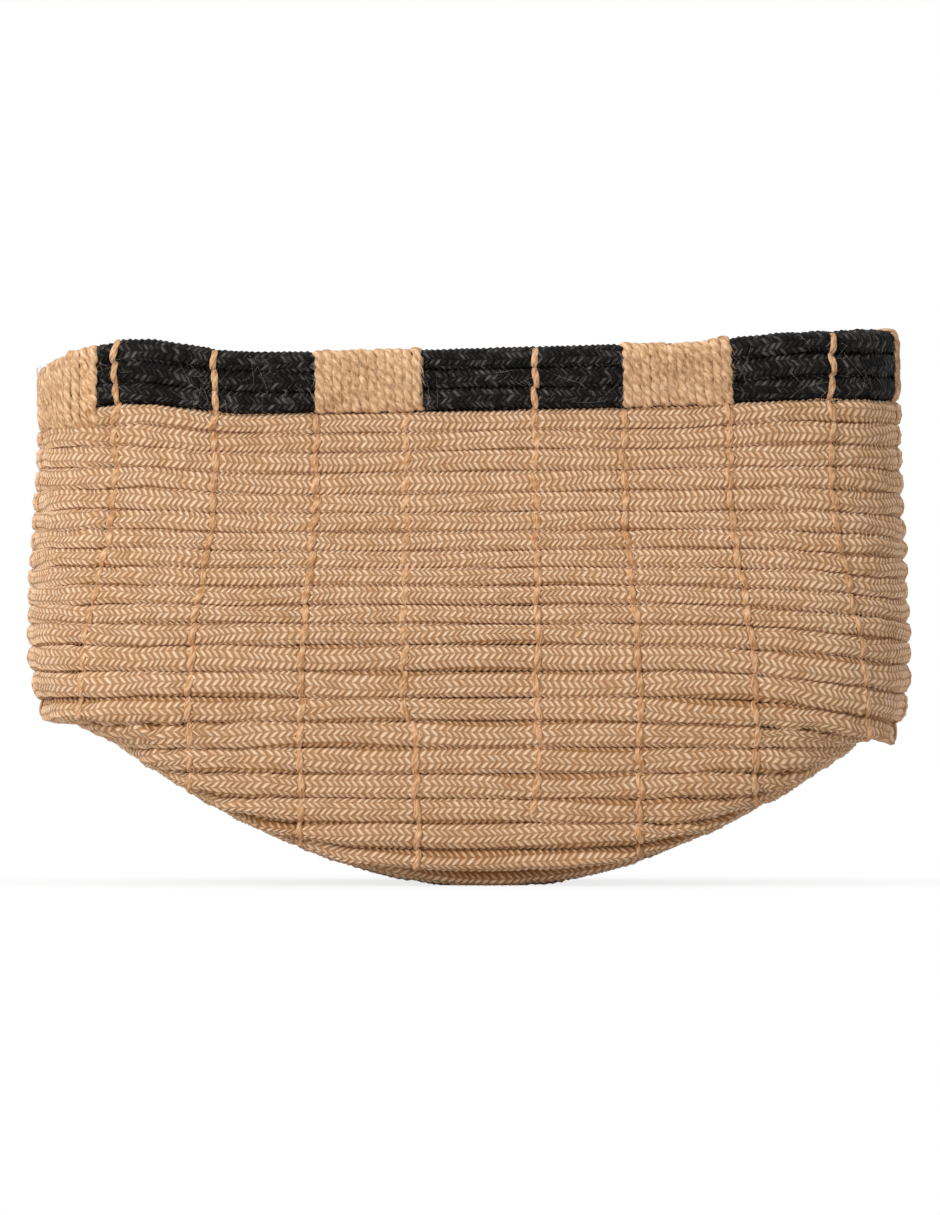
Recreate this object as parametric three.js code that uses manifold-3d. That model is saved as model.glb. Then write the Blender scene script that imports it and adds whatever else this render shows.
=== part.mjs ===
// Jute storage basket, wound row by row from one thick braided rope.
// Three black rim rows are bound with twine, and lines of yarn stitch all the rows together.
// Millimetres, +Z up, front towards -Y, origin on the floor under the middle of the basket.

import * as THREE from 'three';
import Module from 'manifold-3d';
import { mergeVertices } from 'three/addons/utils/BufferGeometryUtils.js';

// Rows of rope, counted down from the first natural row, which is row 0
const RIM_ROWS = 3;
const WALL_ROWS = 21;
const BASE_ROWS = 10;
const BELLY_ROW = 12;
const EAR_ROW = 14;
const LOWER_ROWS = 9;
const MIDDLE_ROWS = 6;
const SHIFT_ROWS = 2;
const LAST_ROW = WALL_ROWS + BASE_ROWS;

// Rope
const ROPE_THICKNESS = 11.6;
const RIM_ROPE_THICKNESS = 10.4;
const ROW_GAP = 0.95;
const EDGE_GAP = 1.4;
const BUTT_GAP = 0.4;
const FLOOR_CUT = 1.2;
const ROPE_SIDES = 5;

// Height of the rows on the front face
const EDGE_ROW_HEIGHT = 11;
const LOWER_PITCH = 11.45;
const MIDDLE_PITCH = 8.1;
const UPPER_PITCH = 9.4;

// Plan of the rows, to the middle of the rope
const RIM_HALF_LENGTH = 189.3;
const BELLY_HALF_LENGTH = 194.6;
const EAR_HALF_LENGTH = 190.3;
const LOBE_HALF_LENGTH = 171;
const CENTRE_HALF_LENGTH = 8;
const RIM_HALF_DEPTH = 111;
const BELLY_HALF_DEPTH = 133;
const EDGE_HALF_DEPTH = 127;
const BASE_HALF_DEPTH = 117;
const WALL_ROUND_SHARE = 0.32;
const BASE_ROUND_SHARE = 1;
const LOBE_SPREAD_SHARE = 0.1;

// Curved underside, like a cradle along the length, and its place to the right of the middle
const KEEL_ROUNDING = 145;
const KEEL_SLOPE_SHARE = 0.9;
const KEEL_SHIFT = 8.5;
const KEEL_BLEND = 6;

// Soft sag of the rows
const LEFT_RIM_DROOP = 11;
const LEFT_DROOP_START_SHARE = 0.8;
const LEFT_DROOP_ROWS = 4;
const RIGHT_RIM_LIFT = 4;
const RIGHT_EAR_DROOP = 11;
const DROOP_START_SHARE = 0.4;
const RIM_TILT_SHARE = 0.022;
const LEFT_RIM_BUMP = 9;
const RIGHT_RIM_BUMP = 2.5;
const RIM_BUMP_WIDTH = 34;
const RIM_BUMP_PLACE = 152;
const WAVE_LAST_ROW = 10;

// Steps of each loop in one quarter, as shares of the quarter from the side to the back or front
const QUARTER_STEP_SHARES = [0.09, 0.36, 0.64, 0.91, 1];
const CLIMB_START_SHARE = 0.33;
const CLIMB_END_SHARE = 0.91;
const CENTRE_END_SHARE = 0.25;
const CENTRE_OVERRUN = 5;

// Twine wraps round the rim
const WRAP_COUNT = 8;
const WRAP_TURNS = 12;
const WRAP_WIDTH = 51.5;
const WRAP_PLACE = -45;
const CORNER_WRAP_SHIFT = -8;
const TWINE_THICKNESS = 1.7;
const TWINE_GAP = 0.6;
const TWINE_CLEARANCE = 0.6;

// Stitching yarn
const STITCH_WIDTH = 3;
const STITCH_THICKNESS = 2.2;
const STITCH_CLEARANCE = 0.75;
const STITCH_SWAY = 0.7;
const STITCH_FROM_WRAP = 24;
const LONGEST_STITCH = 18.6;
const LINE_SPREAD_SHARE = 0.1;
const SPREAD_FIRST_ROW = 3;

// Finishes
const jute = () => new THREE.MeshStandardMaterial({ color: 0xbd9672, roughness: 0.95, metalness: 0 });
const blackJute = () => new THREE.MeshStandardMaterial({ color: 0x282624, roughness: 0.9, metalness: 0 });
const twine = () => new THREE.MeshStandardMaterial({ color: 0xcda37b, roughness: 0.9, metalness: 0 });
const yarn = () => new THREE.MeshStandardMaterial({ color: 0xc89164, roughness: 0.92, metalness: 0 });

const clamp = THREE.MathUtils.clamp;
const lerp = THREE.MathUtils.lerp;
const smoothstep = THREE.MathUtils.smoothstep;

// Surface of the basket: a point for each row and angle

function keelHeight(x) {
  return Math.hypot(KEEL_ROUNDING, KEEL_SLOPE_SHARE * (x - KEEL_SHIFT)) - KEEL_ROUNDING;
}

function frontHeight(row) {
  const above = WALL_ROWS - 1 - row;
  const lower = Math.min(above, LOWER_ROWS);
  const middle = clamp(above - LOWER_ROWS, 0, MIDDLE_ROWS);
  const upper = Math.max(above - LOWER_ROWS - MIDDLE_ROWS, 0);
  return EDGE_ROW_HEIGHT + lower * LOWER_PITCH + middle * MIDDLE_PITCH + upper * UPPER_PITCH;
}

function halfLength(row) {
  if (row <= BELLY_ROW) {
    const swell = Math.sin((Math.PI / 2) * ((row + RIM_ROWS) / (BELLY_ROW + RIM_ROWS))) ** 2;
    return lerp(RIM_HALF_LENGTH, BELLY_HALF_LENGTH, swell);
  }
  if (row <= EAR_ROW) {
    return lerp(BELLY_HALF_LENGTH, EAR_HALF_LENGTH, (row - BELLY_ROW) / (EAR_ROW - BELLY_ROW));
  }
  if (row <= EAR_ROW + 1) {
    return lerp(EAR_HALF_LENGTH, LOBE_HALF_LENGTH, row - EAR_ROW);
  }
  const inward = (row - EAR_ROW - 1) / (LAST_ROW - EAR_ROW - 1);
  const lobe = LOBE_HALF_LENGTH * (1 - inward) * (1 + LOBE_SPREAD_SHARE * inward);
  return lobe + CENTRE_HALF_LENGTH * inward;
}

function halfDepth(row) {
  const edgeRow = WALL_ROWS - 1;
  if (row <= BELLY_ROW) {
    return lerp(RIM_HALF_DEPTH, BELLY_HALF_DEPTH, smoothstep(row, 0, BELLY_ROW));
  }
  if (row <= edgeRow) {
    const down = (row - BELLY_ROW) / (edgeRow - BELLY_ROW);
    return lerp(BELLY_HALF_DEPTH, EDGE_HALF_DEPTH, down ** 2);
  }
  if (row <= WALL_ROWS) {
    return lerp(EDGE_HALF_DEPTH, BASE_HALF_DEPTH, row - edgeRow);
  }
  return BASE_HALF_DEPTH * (LAST_ROW - row) / BASE_ROWS;
}

function roundness(row) {
  const inward = clamp((row - EAR_ROW) / (LAST_ROW - EAR_ROW), 0, 1);
  return lerp(WALL_ROUND_SHARE, BASE_ROUND_SHARE, inward ** 2);
}

function rimBump(x, height, place) {
  return height * Math.exp(-(((x - place) / RIM_BUMP_WIDTH) ** 2));
}

function sag(row, x) {
  const down = (row + RIM_ROWS) / (EAR_ROW + RIM_ROWS);
  const sideShare = Math.abs(x / halfLength(Math.min(row, EAR_ROW)));
  const start = x < 0 ? LEFT_DROOP_START_SHARE : DROOP_START_SHARE;
  const side = Math.max((sideShare - start) / (1 - start), 0) ** 2;
  const leftDroop = LEFT_RIM_DROOP * clamp(1 - (row + RIM_ROWS) / LEFT_DROOP_ROWS, 0, 1);
  const rightDroop = lerp(-RIGHT_RIM_LIFT, RIGHT_EAR_DROOP, down);
  const wave = clamp((WAVE_LAST_ROW - row) / (WAVE_LAST_ROW + RIM_ROWS), 0, 1);
  const leftBump = rimBump(Math.max(x, -RIM_BUMP_PLACE), LEFT_RIM_BUMP, -RIM_BUMP_PLACE);
  const rightBump = rimBump(x, RIGHT_RIM_BUMP, RIM_BUMP_PLACE);
  const wall = clamp(EAR_ROW + 1 - row, 0, 1);
  const droop = wall * side * (x < 0 ? leftDroop : rightDroop);
  return wave * (RIM_TILT_SHARE * x + leftBump + rightBump) - droop;
}

function surfacePoint(row, angle) {
  const power = roundness(row);
  const across = Math.cos(angle);
  const along = Math.sin(angle);
  const under = clamp(row - EAR_ROW, 0, 1);
  const shift = KEEL_SHIFT * clamp((row - EAR_ROW) / SHIFT_ROWS, 0, 1);
  const x = shift + halfLength(row) * Math.sign(across) * Math.abs(across) ** power;
  const y = halfDepth(row) * Math.sign(along) * Math.abs(along) ** power;
  const face = frontHeight(row) + sag(row, x);
  if (row <= EAR_ROW) return new THREE.Vector3(x, y, face);
  const keel = keelHeight(x) + ROPE_THICKNESS / 2 - FLOOR_CUT;
  const blended = (face + keel + Math.hypot(face - keel, KEEL_BLEND)) / 2;
  return new THREE.Vector3(x, y, lerp(face, blended, under));
}

// Path of the rope: turn u counts whole loops from the middle of the back, and the rope steps
// down to the next row on the right-hand half of the back, so the front rows stay level

function quarterAngle(share) {
  return (Math.PI / 2) * share;
}

function climb(turnShare) {
  const backQuarter = (turnShare - 3 / 4) * 4;
  return smoothstep(backQuarter, CLIMB_START_SHARE, CLIMB_END_SHARE);
}

function ropePoint(turn) {
  const loop = Math.floor(turn);
  const turnShare = turn - loop;
  return surfacePoint(loop + climb(turnShare), quarterAngle(1 + 4 * turnShare));
}

function loopStops() {
  const stops = [];
  for (let quarter = 0; quarter < 4; quarter += 1) {
    for (const share of QUARTER_STEP_SHARES) {
      const fromStart = quarter % 2 === 0 ? 1 - share : share;
      stops.push((quarter + fromStart) / 4);
    }
  }
  return [...new Set(stops)].sort((a, b) => a - b).filter((stop) => stop < 1);
}

const LOOP_STOPS = loopStops();

// Cross-section of the rope: a five-sided ring with one corner outwards, whose upper and lower
// corners reach half-way to the neighbouring rows, less half of the gap between rows

function ropeThickness(loop) {
  return loop < 0 ? RIM_ROPE_THICKNESS : ROPE_THICKNESS;
}

function gapBetween(upperLoop) {
  if (upperLoop === -1) return TWINE_THICKNESS + 2 * TWINE_CLEARANCE;
  return upperLoop === WALL_ROWS - 1 ? EDGE_GAP : ROW_GAP;
}

function reach(centre, neighbour, tangent, gap) {
  const half = neighbour.clone().sub(centre).multiplyScalar(1 / 2);
  half.addScaledVector(tangent, -half.dot(tangent));
  return half.setLength(half.length() - gap / 2);
}

function ropeSection(turn, loop, centre, tangent) {
  const up = reach(centre, ropePoint(turn - 1), tangent, gapBetween(loop - 1));
  const down = reach(centre, ropePoint(turn + 1), tangent, gapBetween(loop));
  const outward = tangent.clone().cross(up.clone().sub(down).normalize()).normalize();
  const points = [];
  const tallest = Math.sin((2 * Math.PI) / ROPE_SIDES);
  for (let side = 0; side < ROPE_SIDES; side += 1) {
    const angle = (2 * Math.PI * side) / ROPE_SIDES;
    const vertical = Math.sin(angle) / tallest;
    const point = centre.clone().addScaledVector(outward, (Math.cos(angle) * ropeThickness(loop)) / 2);
    points.push(point.addScaledVector(vertical > 0 ? up : down, Math.abs(vertical)));
  }
  return { turn, centre, tangent, points };
}

// Sections along a stretch of the path, at the stops of each loop. The runs on either side of the
// middle of the back are straight, and an end there is cut square to the face of the basket and
// stands back by half of the butt gap.

const ALONG_BACK = new THREE.Vector3(-1, 0, 0);

function tangentAt(centres, index) {
  const here = centres[index];
  const arriving = here.clone().sub(centres[index - 1]).normalize();
  const leaving = centres[index + 1].clone().sub(here).normalize();
  return arriving.add(leaving).normalize();
}

function ropeSections(firstTurn, lastTurn, straightEnd = 0) {
  const turns = [firstTurn];
  for (let loop = Math.floor(firstTurn); loop < lastTurn; loop += 1) {
    for (const stop of LOOP_STOPS) {
      const turn = loop + stop;
      if (turn > firstTurn && turn < lastTurn - straightEnd) turns.push(turn);
    }
  }
  turns.push(lastTurn);
  const centres = turns.map(ropePoint);
  const last = turns.length - 1;
  return turns.map((turn, index) => {
    const loop = index === 0 ? turn : Math.ceil(turn) - 1;
    if (index > 0 && index < last) return ropeSection(turn, loop, centres[index], tangentAt(centres, index));
    const isInCentre = turn > Math.floor(turn);
    const tangent = isInCentre ? centres[last].clone().sub(centres[last - 1]).normalize() : ALONG_BACK;
    const onward = isInCentre ? CENTRE_OVERRUN : -BUTT_GAP / 2;
    const end = centres[index].clone().addScaledVector(tangent, index === 0 ? -onward : onward);
    return ropeSection(turn, loop, end, tangent);
  });
}

function blend(one, other, share) {
  return {
    turn: lerp(one.turn, other.turn, share),
    centre: one.centre.clone().lerp(other.centre, share),
    tangent: one.tangent.clone().lerp(other.tangent, share).normalize(),
    points: one.points.map((point, index) => point.clone().lerp(other.points[index], share)),
  };
}

function sectionAt(sections, turn) {
  const next = clamp(sections.findIndex((section) => section.turn > turn), 1, sections.length - 1);
  const one = sections[next - 1];
  const other = sections[next];
  return blend(one, other, (turn - one.turn) / (other.turn - one.turn));
}

// Solids from rings of points

function tubeGeometry(rings) {
  const sides = rings[0].length;
  const faces = [];
  for (let side = 2; side < sides; side += 1) {
    faces.push(0, side - 1, side);
    const last = (rings.length - 1) * sides;
    faces.push(last, last + side, last + side - 1);
  }
  for (let ring = 1; ring < rings.length; ring += 1) {
    for (let side = 0; side < sides; side += 1) {
      const here = (ring - 1) * sides + side;
      const beside = (ring - 1) * sides + ((side + 1) % sides);
      faces.push(here, here + sides, beside + sides, here, beside + sides, beside);
    }
  }
  const geometry = new THREE.BufferGeometry().setFromPoints(rings.flat());
  geometry.setIndex(faces);
  return faced(geometry);
}

function faced(indexed) {
  const geometry = indexed.toNonIndexed();
  geometry.computeVertexNormals();
  return geometry;
}

const wasm = await Module();
wasm.setup();

function toManifold(geometry) {
  const bare = new THREE.BufferGeometry().setAttribute('position', geometry.getAttribute('position'));
  const merged = mergeVertices(bare);
  const vertProperties = merged.getAttribute('position').array;
  const triVerts = new Uint32Array(merged.index.array);
  return new wasm.Manifold(new wasm.Mesh({ numProp: 3, vertProperties, triVerts }));
}

function cutFlatAtFloor(geometry) {
  const length = 2 * BELLY_HALF_LENGTH;
  const depth = 2 * BELLY_HALF_DEPTH;
  const below = new THREE.BoxGeometry(length, depth, ROPE_THICKNESS).toNonIndexed();
  below.translate(0, 0, -ROPE_THICKNESS / 2);
  const mesh = toManifold(geometry).subtract(toManifold(below)).getMesh();
  const cut = new THREE.BufferGeometry();
  cut.setAttribute('position', new THREE.BufferAttribute(mesh.vertProperties, 3));
  cut.setIndex(new THREE.BufferAttribute(mesh.triVerts, 1));
  return faced(cut);
}

function leastGap(rings, apart) {
  let least = Infinity;
  rings.forEach((ring, index) => {
    for (const other of rings.slice(index + 1)) {
      if (other.turn - ring.turn < apart) continue;
      for (const point of ring.points) {
        for (const far of other.points) least = Math.min(least, point.distanceTo(far));
      }
    }
  });
  return least;
}

// Twine wraps: each turn goes up inside the basket, over the rim, down the front of the three black
// rows and back in under them

const rimSections = ropeSections(-RIM_ROWS, 0);
const wallSections = ropeSections(0, WALL_ROWS);
const baseSections = ropeSections(WALL_ROWS, LAST_ROW + CENTRE_END_SHARE, CENTRE_END_SHARE / 2);

function rimLengths() {
  const loop = rimSections.filter((section) => section.turn >= -2 && section.turn <= -1);
  const lengths = [0];
  for (let index = 1; index < loop.length; index += 1) {
    lengths.push(lengths[index - 1] + loop[index].centre.distanceTo(loop[index - 1].centre));
  }
  return { loop, lengths, whole: lengths.at(-1) };
}

const RIM = rimLengths();

// Share of the loop at a distance along the rim to the right of the middle of the front
function shareAtPlace(place) {
  const front = RIM.loop.findIndex((section) => section.turn >= -3 / 2);
  const along = (((RIM.lengths[front] + place) % RIM.whole) + RIM.whole) % RIM.whole;
  const next = clamp(RIM.lengths.findIndex((length) => length > along), 1, RIM.lengths.length - 1);
  const step = (along - RIM.lengths[next - 1]) / (RIM.lengths[next] - RIM.lengths[next - 1]);
  return 2 + lerp(RIM.loop[next - 1].turn, RIM.loop[next].turn, step);
}

function rimBox(share) {
  const rows = [];
  for (let loop = -RIM_ROWS; loop < 0; loop += 1) rows.push(sectionAt(rimSections, loop + share));
  const middle = rows[1];
  const up = rows[0].centre.clone().sub(rows[2].centre).normalize();
  const outward = middle.tangent.clone().cross(up).normalize();
  const offsets = rows.flatMap((row) => row.points).map((point) => point.clone().sub(middle.centre));
  const outs = offsets.map((offset) => offset.dot(outward));
  const ups = offsets.map((offset) => offset.dot(up));
  const outer = Math.max(...outs) + TWINE_CLEARANCE;
  const inner = Math.min(...outs) - TWINE_CLEARANCE;
  const top = Math.max(...ups) + TWINE_CLEARANCE;
  const bottom = Math.min(...ups) - TWINE_CLEARANCE;
  return { centre: middle.centre, outward, up, outer, inner, top, bottom };
}

// Corner of a turn: step 0 is inside at the top, then outside at the top, outside at the bottom and
// inside at the bottom. A half step lies in the middle of the inner side.
function wrapCorner(place, step) {
  const box = rimBox(shareAtPlace(place + WRAP_WIDTH * ((step + 1 / 2) / (4 * WRAP_TURNS) - 1 / 2)));
  const corner = ((step % 4) + 4) % 4;
  const isInner = corner === 0 || corner > 2;
  const side = isInner ? -1 : 1;
  const level = corner === Math.floor(corner) ? (corner < 2 ? 1 : -1) : 0;
  const height = level === 0 ? 0 : level > 0 ? box.top : box.bottom;
  const point = box.centre.clone();
  point.addScaledVector(box.outward, isInner ? box.inner : box.outer);
  point.addScaledVector(box.up, height);
  const proud = box.outward.clone().multiplyScalar(side).addScaledVector(box.up, level);
  return { point, proud: proud.multiplyScalar(TWINE_THICKNESS) };
}

function wrapRing(place, step) {
  const { point, proud } = wrapCorner(place, step);
  const back = wrapCorner(place, step - 4).point;
  const forward = wrapCorner(place, step + 4).point;
  const half = forward.sub(back).multiplyScalar(1 / 4);
  half.setLength(half.length() - TWINE_GAP / 2);
  const points = [point.clone().add(half), point.clone().sub(half), point.clone().add(proud)];
  return { turn: step / 4, points };
}

function wrapRings(place) {
  const steps = [-1 / 2];
  for (let step = 0; step < 4 * WRAP_TURNS; step += 1) steps.push(step);
  steps.push(4 * WRAP_TURNS - 1 / 2);
  return steps.map((step) => wrapRing(place, step));
}

// Stitching yarn: one line down the outside, a stitch over each row. On the front and the back the
// lines spread a little towards the belly, and on the sides each keeps its depth.

function lineStart(place) {
  const share = shareAtPlace(place);
  const crest = sectionAt(rimSections, share - RIM_ROWS).points[0];
  const onSide = Math.abs(crest.y) < RIM_HALF_DEPTH - ROPE_THICKNESS;
  const axis = onSide ? 'y' : 'x';
  const other = onSide ? 'x' : 'y';
  return { axis, other, value: crest[axis], face: Math.sign(crest[other]) };
}

function lineCrossing(sections, loop, line) {
  const spread = line.axis === 'x' ? LINE_SPREAD_SHARE * smoothstep(loop, SPREAD_FIRST_ROW, EAR_ROW) : 0;
  const value = line.value * (1 + spread);
  const rings = sections.filter((section) => section.turn >= loop && section.turn <= loop + 1);
  for (let index = 1; index < rings.length; index += 1) {
    const one = rings[index - 1];
    const other = rings[index];
    const from = one.points[0][line.axis];
    const to = other.points[0][line.axis];
    const share = (value - from) / (to - from);
    if (share < 0 || share > 1) continue;
    const crossing = blend(one, other, share);
    if (Math.sign(crossing.points[0][line.other]) === line.face) return crossing;
  }
  return null;
}

function stitchRing(section, corner, sway) {
  const outward = section.points[corner].clone().sub(section.centre).normalize();
  const base = section.points[corner].clone().addScaledVector(outward, STITCH_CLEARANCE);
  base.addScaledVector(section.tangent, sway);
  return [
    base.clone().addScaledVector(section.tangent, STITCH_WIDTH / 2),
    base.clone().addScaledVector(section.tangent, -STITCH_WIDTH / 2),
    base.clone().addScaledVector(outward, STITCH_THICKNESS),
  ];
}

function stitchRings(place, firstLoop) {
  const line = lineStart(place);
  const rings = [];
  const lastLoop = line.axis === 'y' ? EAR_ROW : WALL_ROWS - 1;
  let last = null;
  for (let loop = firstLoop; loop <= lastLoop; loop += 1) {
    const section = lineCrossing(loop < 0 ? rimSections : wallSections, loop, line);
    if (!section || section.points[0].z < EDGE_ROW_HEIGHT / 2) break;
    if (last && section.centre.distanceTo(last) > LONGEST_STITCH) break;
    last = section.centre;
    const sway = STITCH_SWAY * (loop % 2 === 0 ? 1 : -1);
    if (loop === -RIM_ROWS) rings.push(stitchRing(section, 1, sway));
    rings.push(stitchRing(section, 0, sway));
  }
  return rings;
}

// The basket

const basket = new THREE.Group();

function add(name, geometry, material) {
  const mesh = new THREE.Mesh(geometry, material);
  mesh.name = name;
  basket.add(mesh);
}

function addRope(name, sections, material, finish = (geometry) => geometry) {
  add(name, finish(tubeGeometry(sections.map((section) => section.points))), material);
  console.log(`${name}: least gap to itself ${leastGap(sections, 1 / 2).toFixed(2)} mm`);
}

addRope('rim_rope', rimSections, blackJute());
addRope('wall_rope', wallSections, jute(), cutFlatAtFloor);
addRope('base_rope', baseSections, jute(), cutFlatAtFloor);

const wrapInterval = RIM.whole / WRAP_COUNT;
let stitchNumber = 0;

// A line starts at the top of the rim, or below the twine where a wrap covers its place
function addStitch(place, wrapPlace) {
  stitchNumber += 1;
  const firstLoop = Math.abs(place - wrapPlace) > WRAP_WIDTH / 2 ? -RIM_ROWS : 0;
  const rings = stitchRings(place, firstLoop);
  add(`stitch_${String(stitchNumber).padStart(2, '0')}`, tubeGeometry(rings), yarn());
}

for (let count = 0; count < WRAP_COUNT; count += 1) {
  const place = WRAP_PLACE + count * wrapInterval;
  const wrapPlace = place + (count === WRAP_COUNT - 1 ? CORNER_WRAP_SHIFT : 0);
  const rings = wrapRings(wrapPlace);
  add(`wrap_${count + 1}`, tubeGeometry(rings.map((ring) => ring.points)), twine());
  console.log(`wrap_${count + 1}: least gap to itself ${leastGap(rings, 1 / 2).toFixed(2)} mm`);
  addStitch(place - STITCH_FROM_WRAP, wrapPlace);
  addStitch(place + STITCH_FROM_WRAP, wrapPlace);
  addStitch(place + wrapInterval / 2, wrapPlace);
}

export default basket;
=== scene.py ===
"""Dresses the jute storage basket: braided rope rows, twine wraps and stitching yarn.

Sizes are millimetres until a mesh is written, and metres in Blender. +Z is up, the front looks
towards -Y, and the origin is on the floor under the middle of the basket.
"""

import logging
import math
from dataclasses import dataclass
from enum import Enum
from functools import cached_property

import bpy
import numpy as np
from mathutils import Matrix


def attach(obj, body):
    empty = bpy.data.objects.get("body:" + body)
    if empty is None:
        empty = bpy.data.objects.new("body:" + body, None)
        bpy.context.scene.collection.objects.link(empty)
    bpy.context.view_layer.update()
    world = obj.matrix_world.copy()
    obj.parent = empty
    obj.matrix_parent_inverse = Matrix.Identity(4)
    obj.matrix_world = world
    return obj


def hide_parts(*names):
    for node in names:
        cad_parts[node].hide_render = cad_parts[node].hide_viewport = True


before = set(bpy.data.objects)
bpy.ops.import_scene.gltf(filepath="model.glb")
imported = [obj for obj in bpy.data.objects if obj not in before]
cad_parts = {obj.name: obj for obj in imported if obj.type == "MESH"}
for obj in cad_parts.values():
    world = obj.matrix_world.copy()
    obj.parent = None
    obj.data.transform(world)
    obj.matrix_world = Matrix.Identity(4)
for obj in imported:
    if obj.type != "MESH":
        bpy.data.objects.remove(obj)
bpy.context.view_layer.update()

LOG = logging.getLogger("basket")
MM = 0.001
FULL_TURN = 2 * math.pi
HASH_FACTORS = (12.9898, 78.233)
HASH_SCALE = 43758.5453


class Slot(Enum):
    """Material slots of the record."""

    JUTE_ROPE = "jute_rope"
    BLACK_ROPE = "black_rope"
    TWINE = "twine"
    YARN = "yarn"


class Axis(Enum):
    """The direction in which a line of stitches keeps its place."""

    ALONG = 0
    ACROSS = 1


# Helpers on whole arrays


def lerp(start: np.ndarray, end: np.ndarray, share: np.ndarray) -> np.ndarray:
    """Mixes two arrays: start at share 0, end at share 1."""
    return start + (end - start) * share


def smoothstep(value: np.ndarray, low: float, high: float) -> np.ndarray:
    """Rises from 0 at low to 1 at high as 3t^2 - 2t^3."""
    share = np.clip((value - low) / (high - low), 0, 1)
    return share * share * (3 - 2 * share)


def unit(vectors: np.ndarray) -> np.ndarray:
    """Scales each row to length 1."""
    return vectors / np.linalg.norm(vectors, axis=-1, keepdims=True)


def triangle_wave(value: np.ndarray) -> np.ndarray:
    """Is 1 at even whole numbers and 0 at odd ones, straight in between."""
    return 1 - np.abs(np.mod(value + 1, 2) - 1)


def hashed(first: np.ndarray, second: np.ndarray) -> np.ndarray:
    """Gives a repeatable value from 0 to 1 for each pair of keys."""
    total = first * HASH_FACTORS[0] + second * HASH_FACTORS[1]
    return np.mod(np.sin(total) * HASH_SCALE, 1)


def interpolate(at: np.ndarray, known: np.ndarray, values: np.ndarray) -> np.ndarray:
    """Reads a table of vectors, with straight lines between its entries.

    Args:
        at: places wanted, in any shape.
        known: places of the entries, rising.
        values: one vector for each entry.

    Returns:
        Vectors, in the shape of the places and one more axis.
    """
    columns = [np.interp(at, known, values[:, axis]) for axis in range(values.shape[1])]
    return np.stack(columns, axis=-1)


@dataclass(frozen=True)
class Wave:
    """One sine of the unevenness of a hand-made piece.

    Args:
        rate: radians for each unit along the piece.
        size: height of the wave.
        start: where it starts, in radians.
        follow: radians for each unit of the piece's place, so that two pieces differ.
    """

    rate: float
    size: float
    start: float = 0
    follow: float = 0


def ripple(
    waves: tuple[Wave, ...], along: np.ndarray, place: float | np.ndarray = 0
) -> np.ndarray:
    """Adds up waves: size times the sine of rate x along + start + follow x place.

    Args:
        waves: the waves.
        along: distances or counts along the piece.
        place: place of the piece.

    Returns:
        The sum.
    """
    parts = [wave.size * np.sin(wave.rate * along + wave.start + wave.follow * place) for wave in waves]
    return sum(parts)


# The form of the basket


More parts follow.
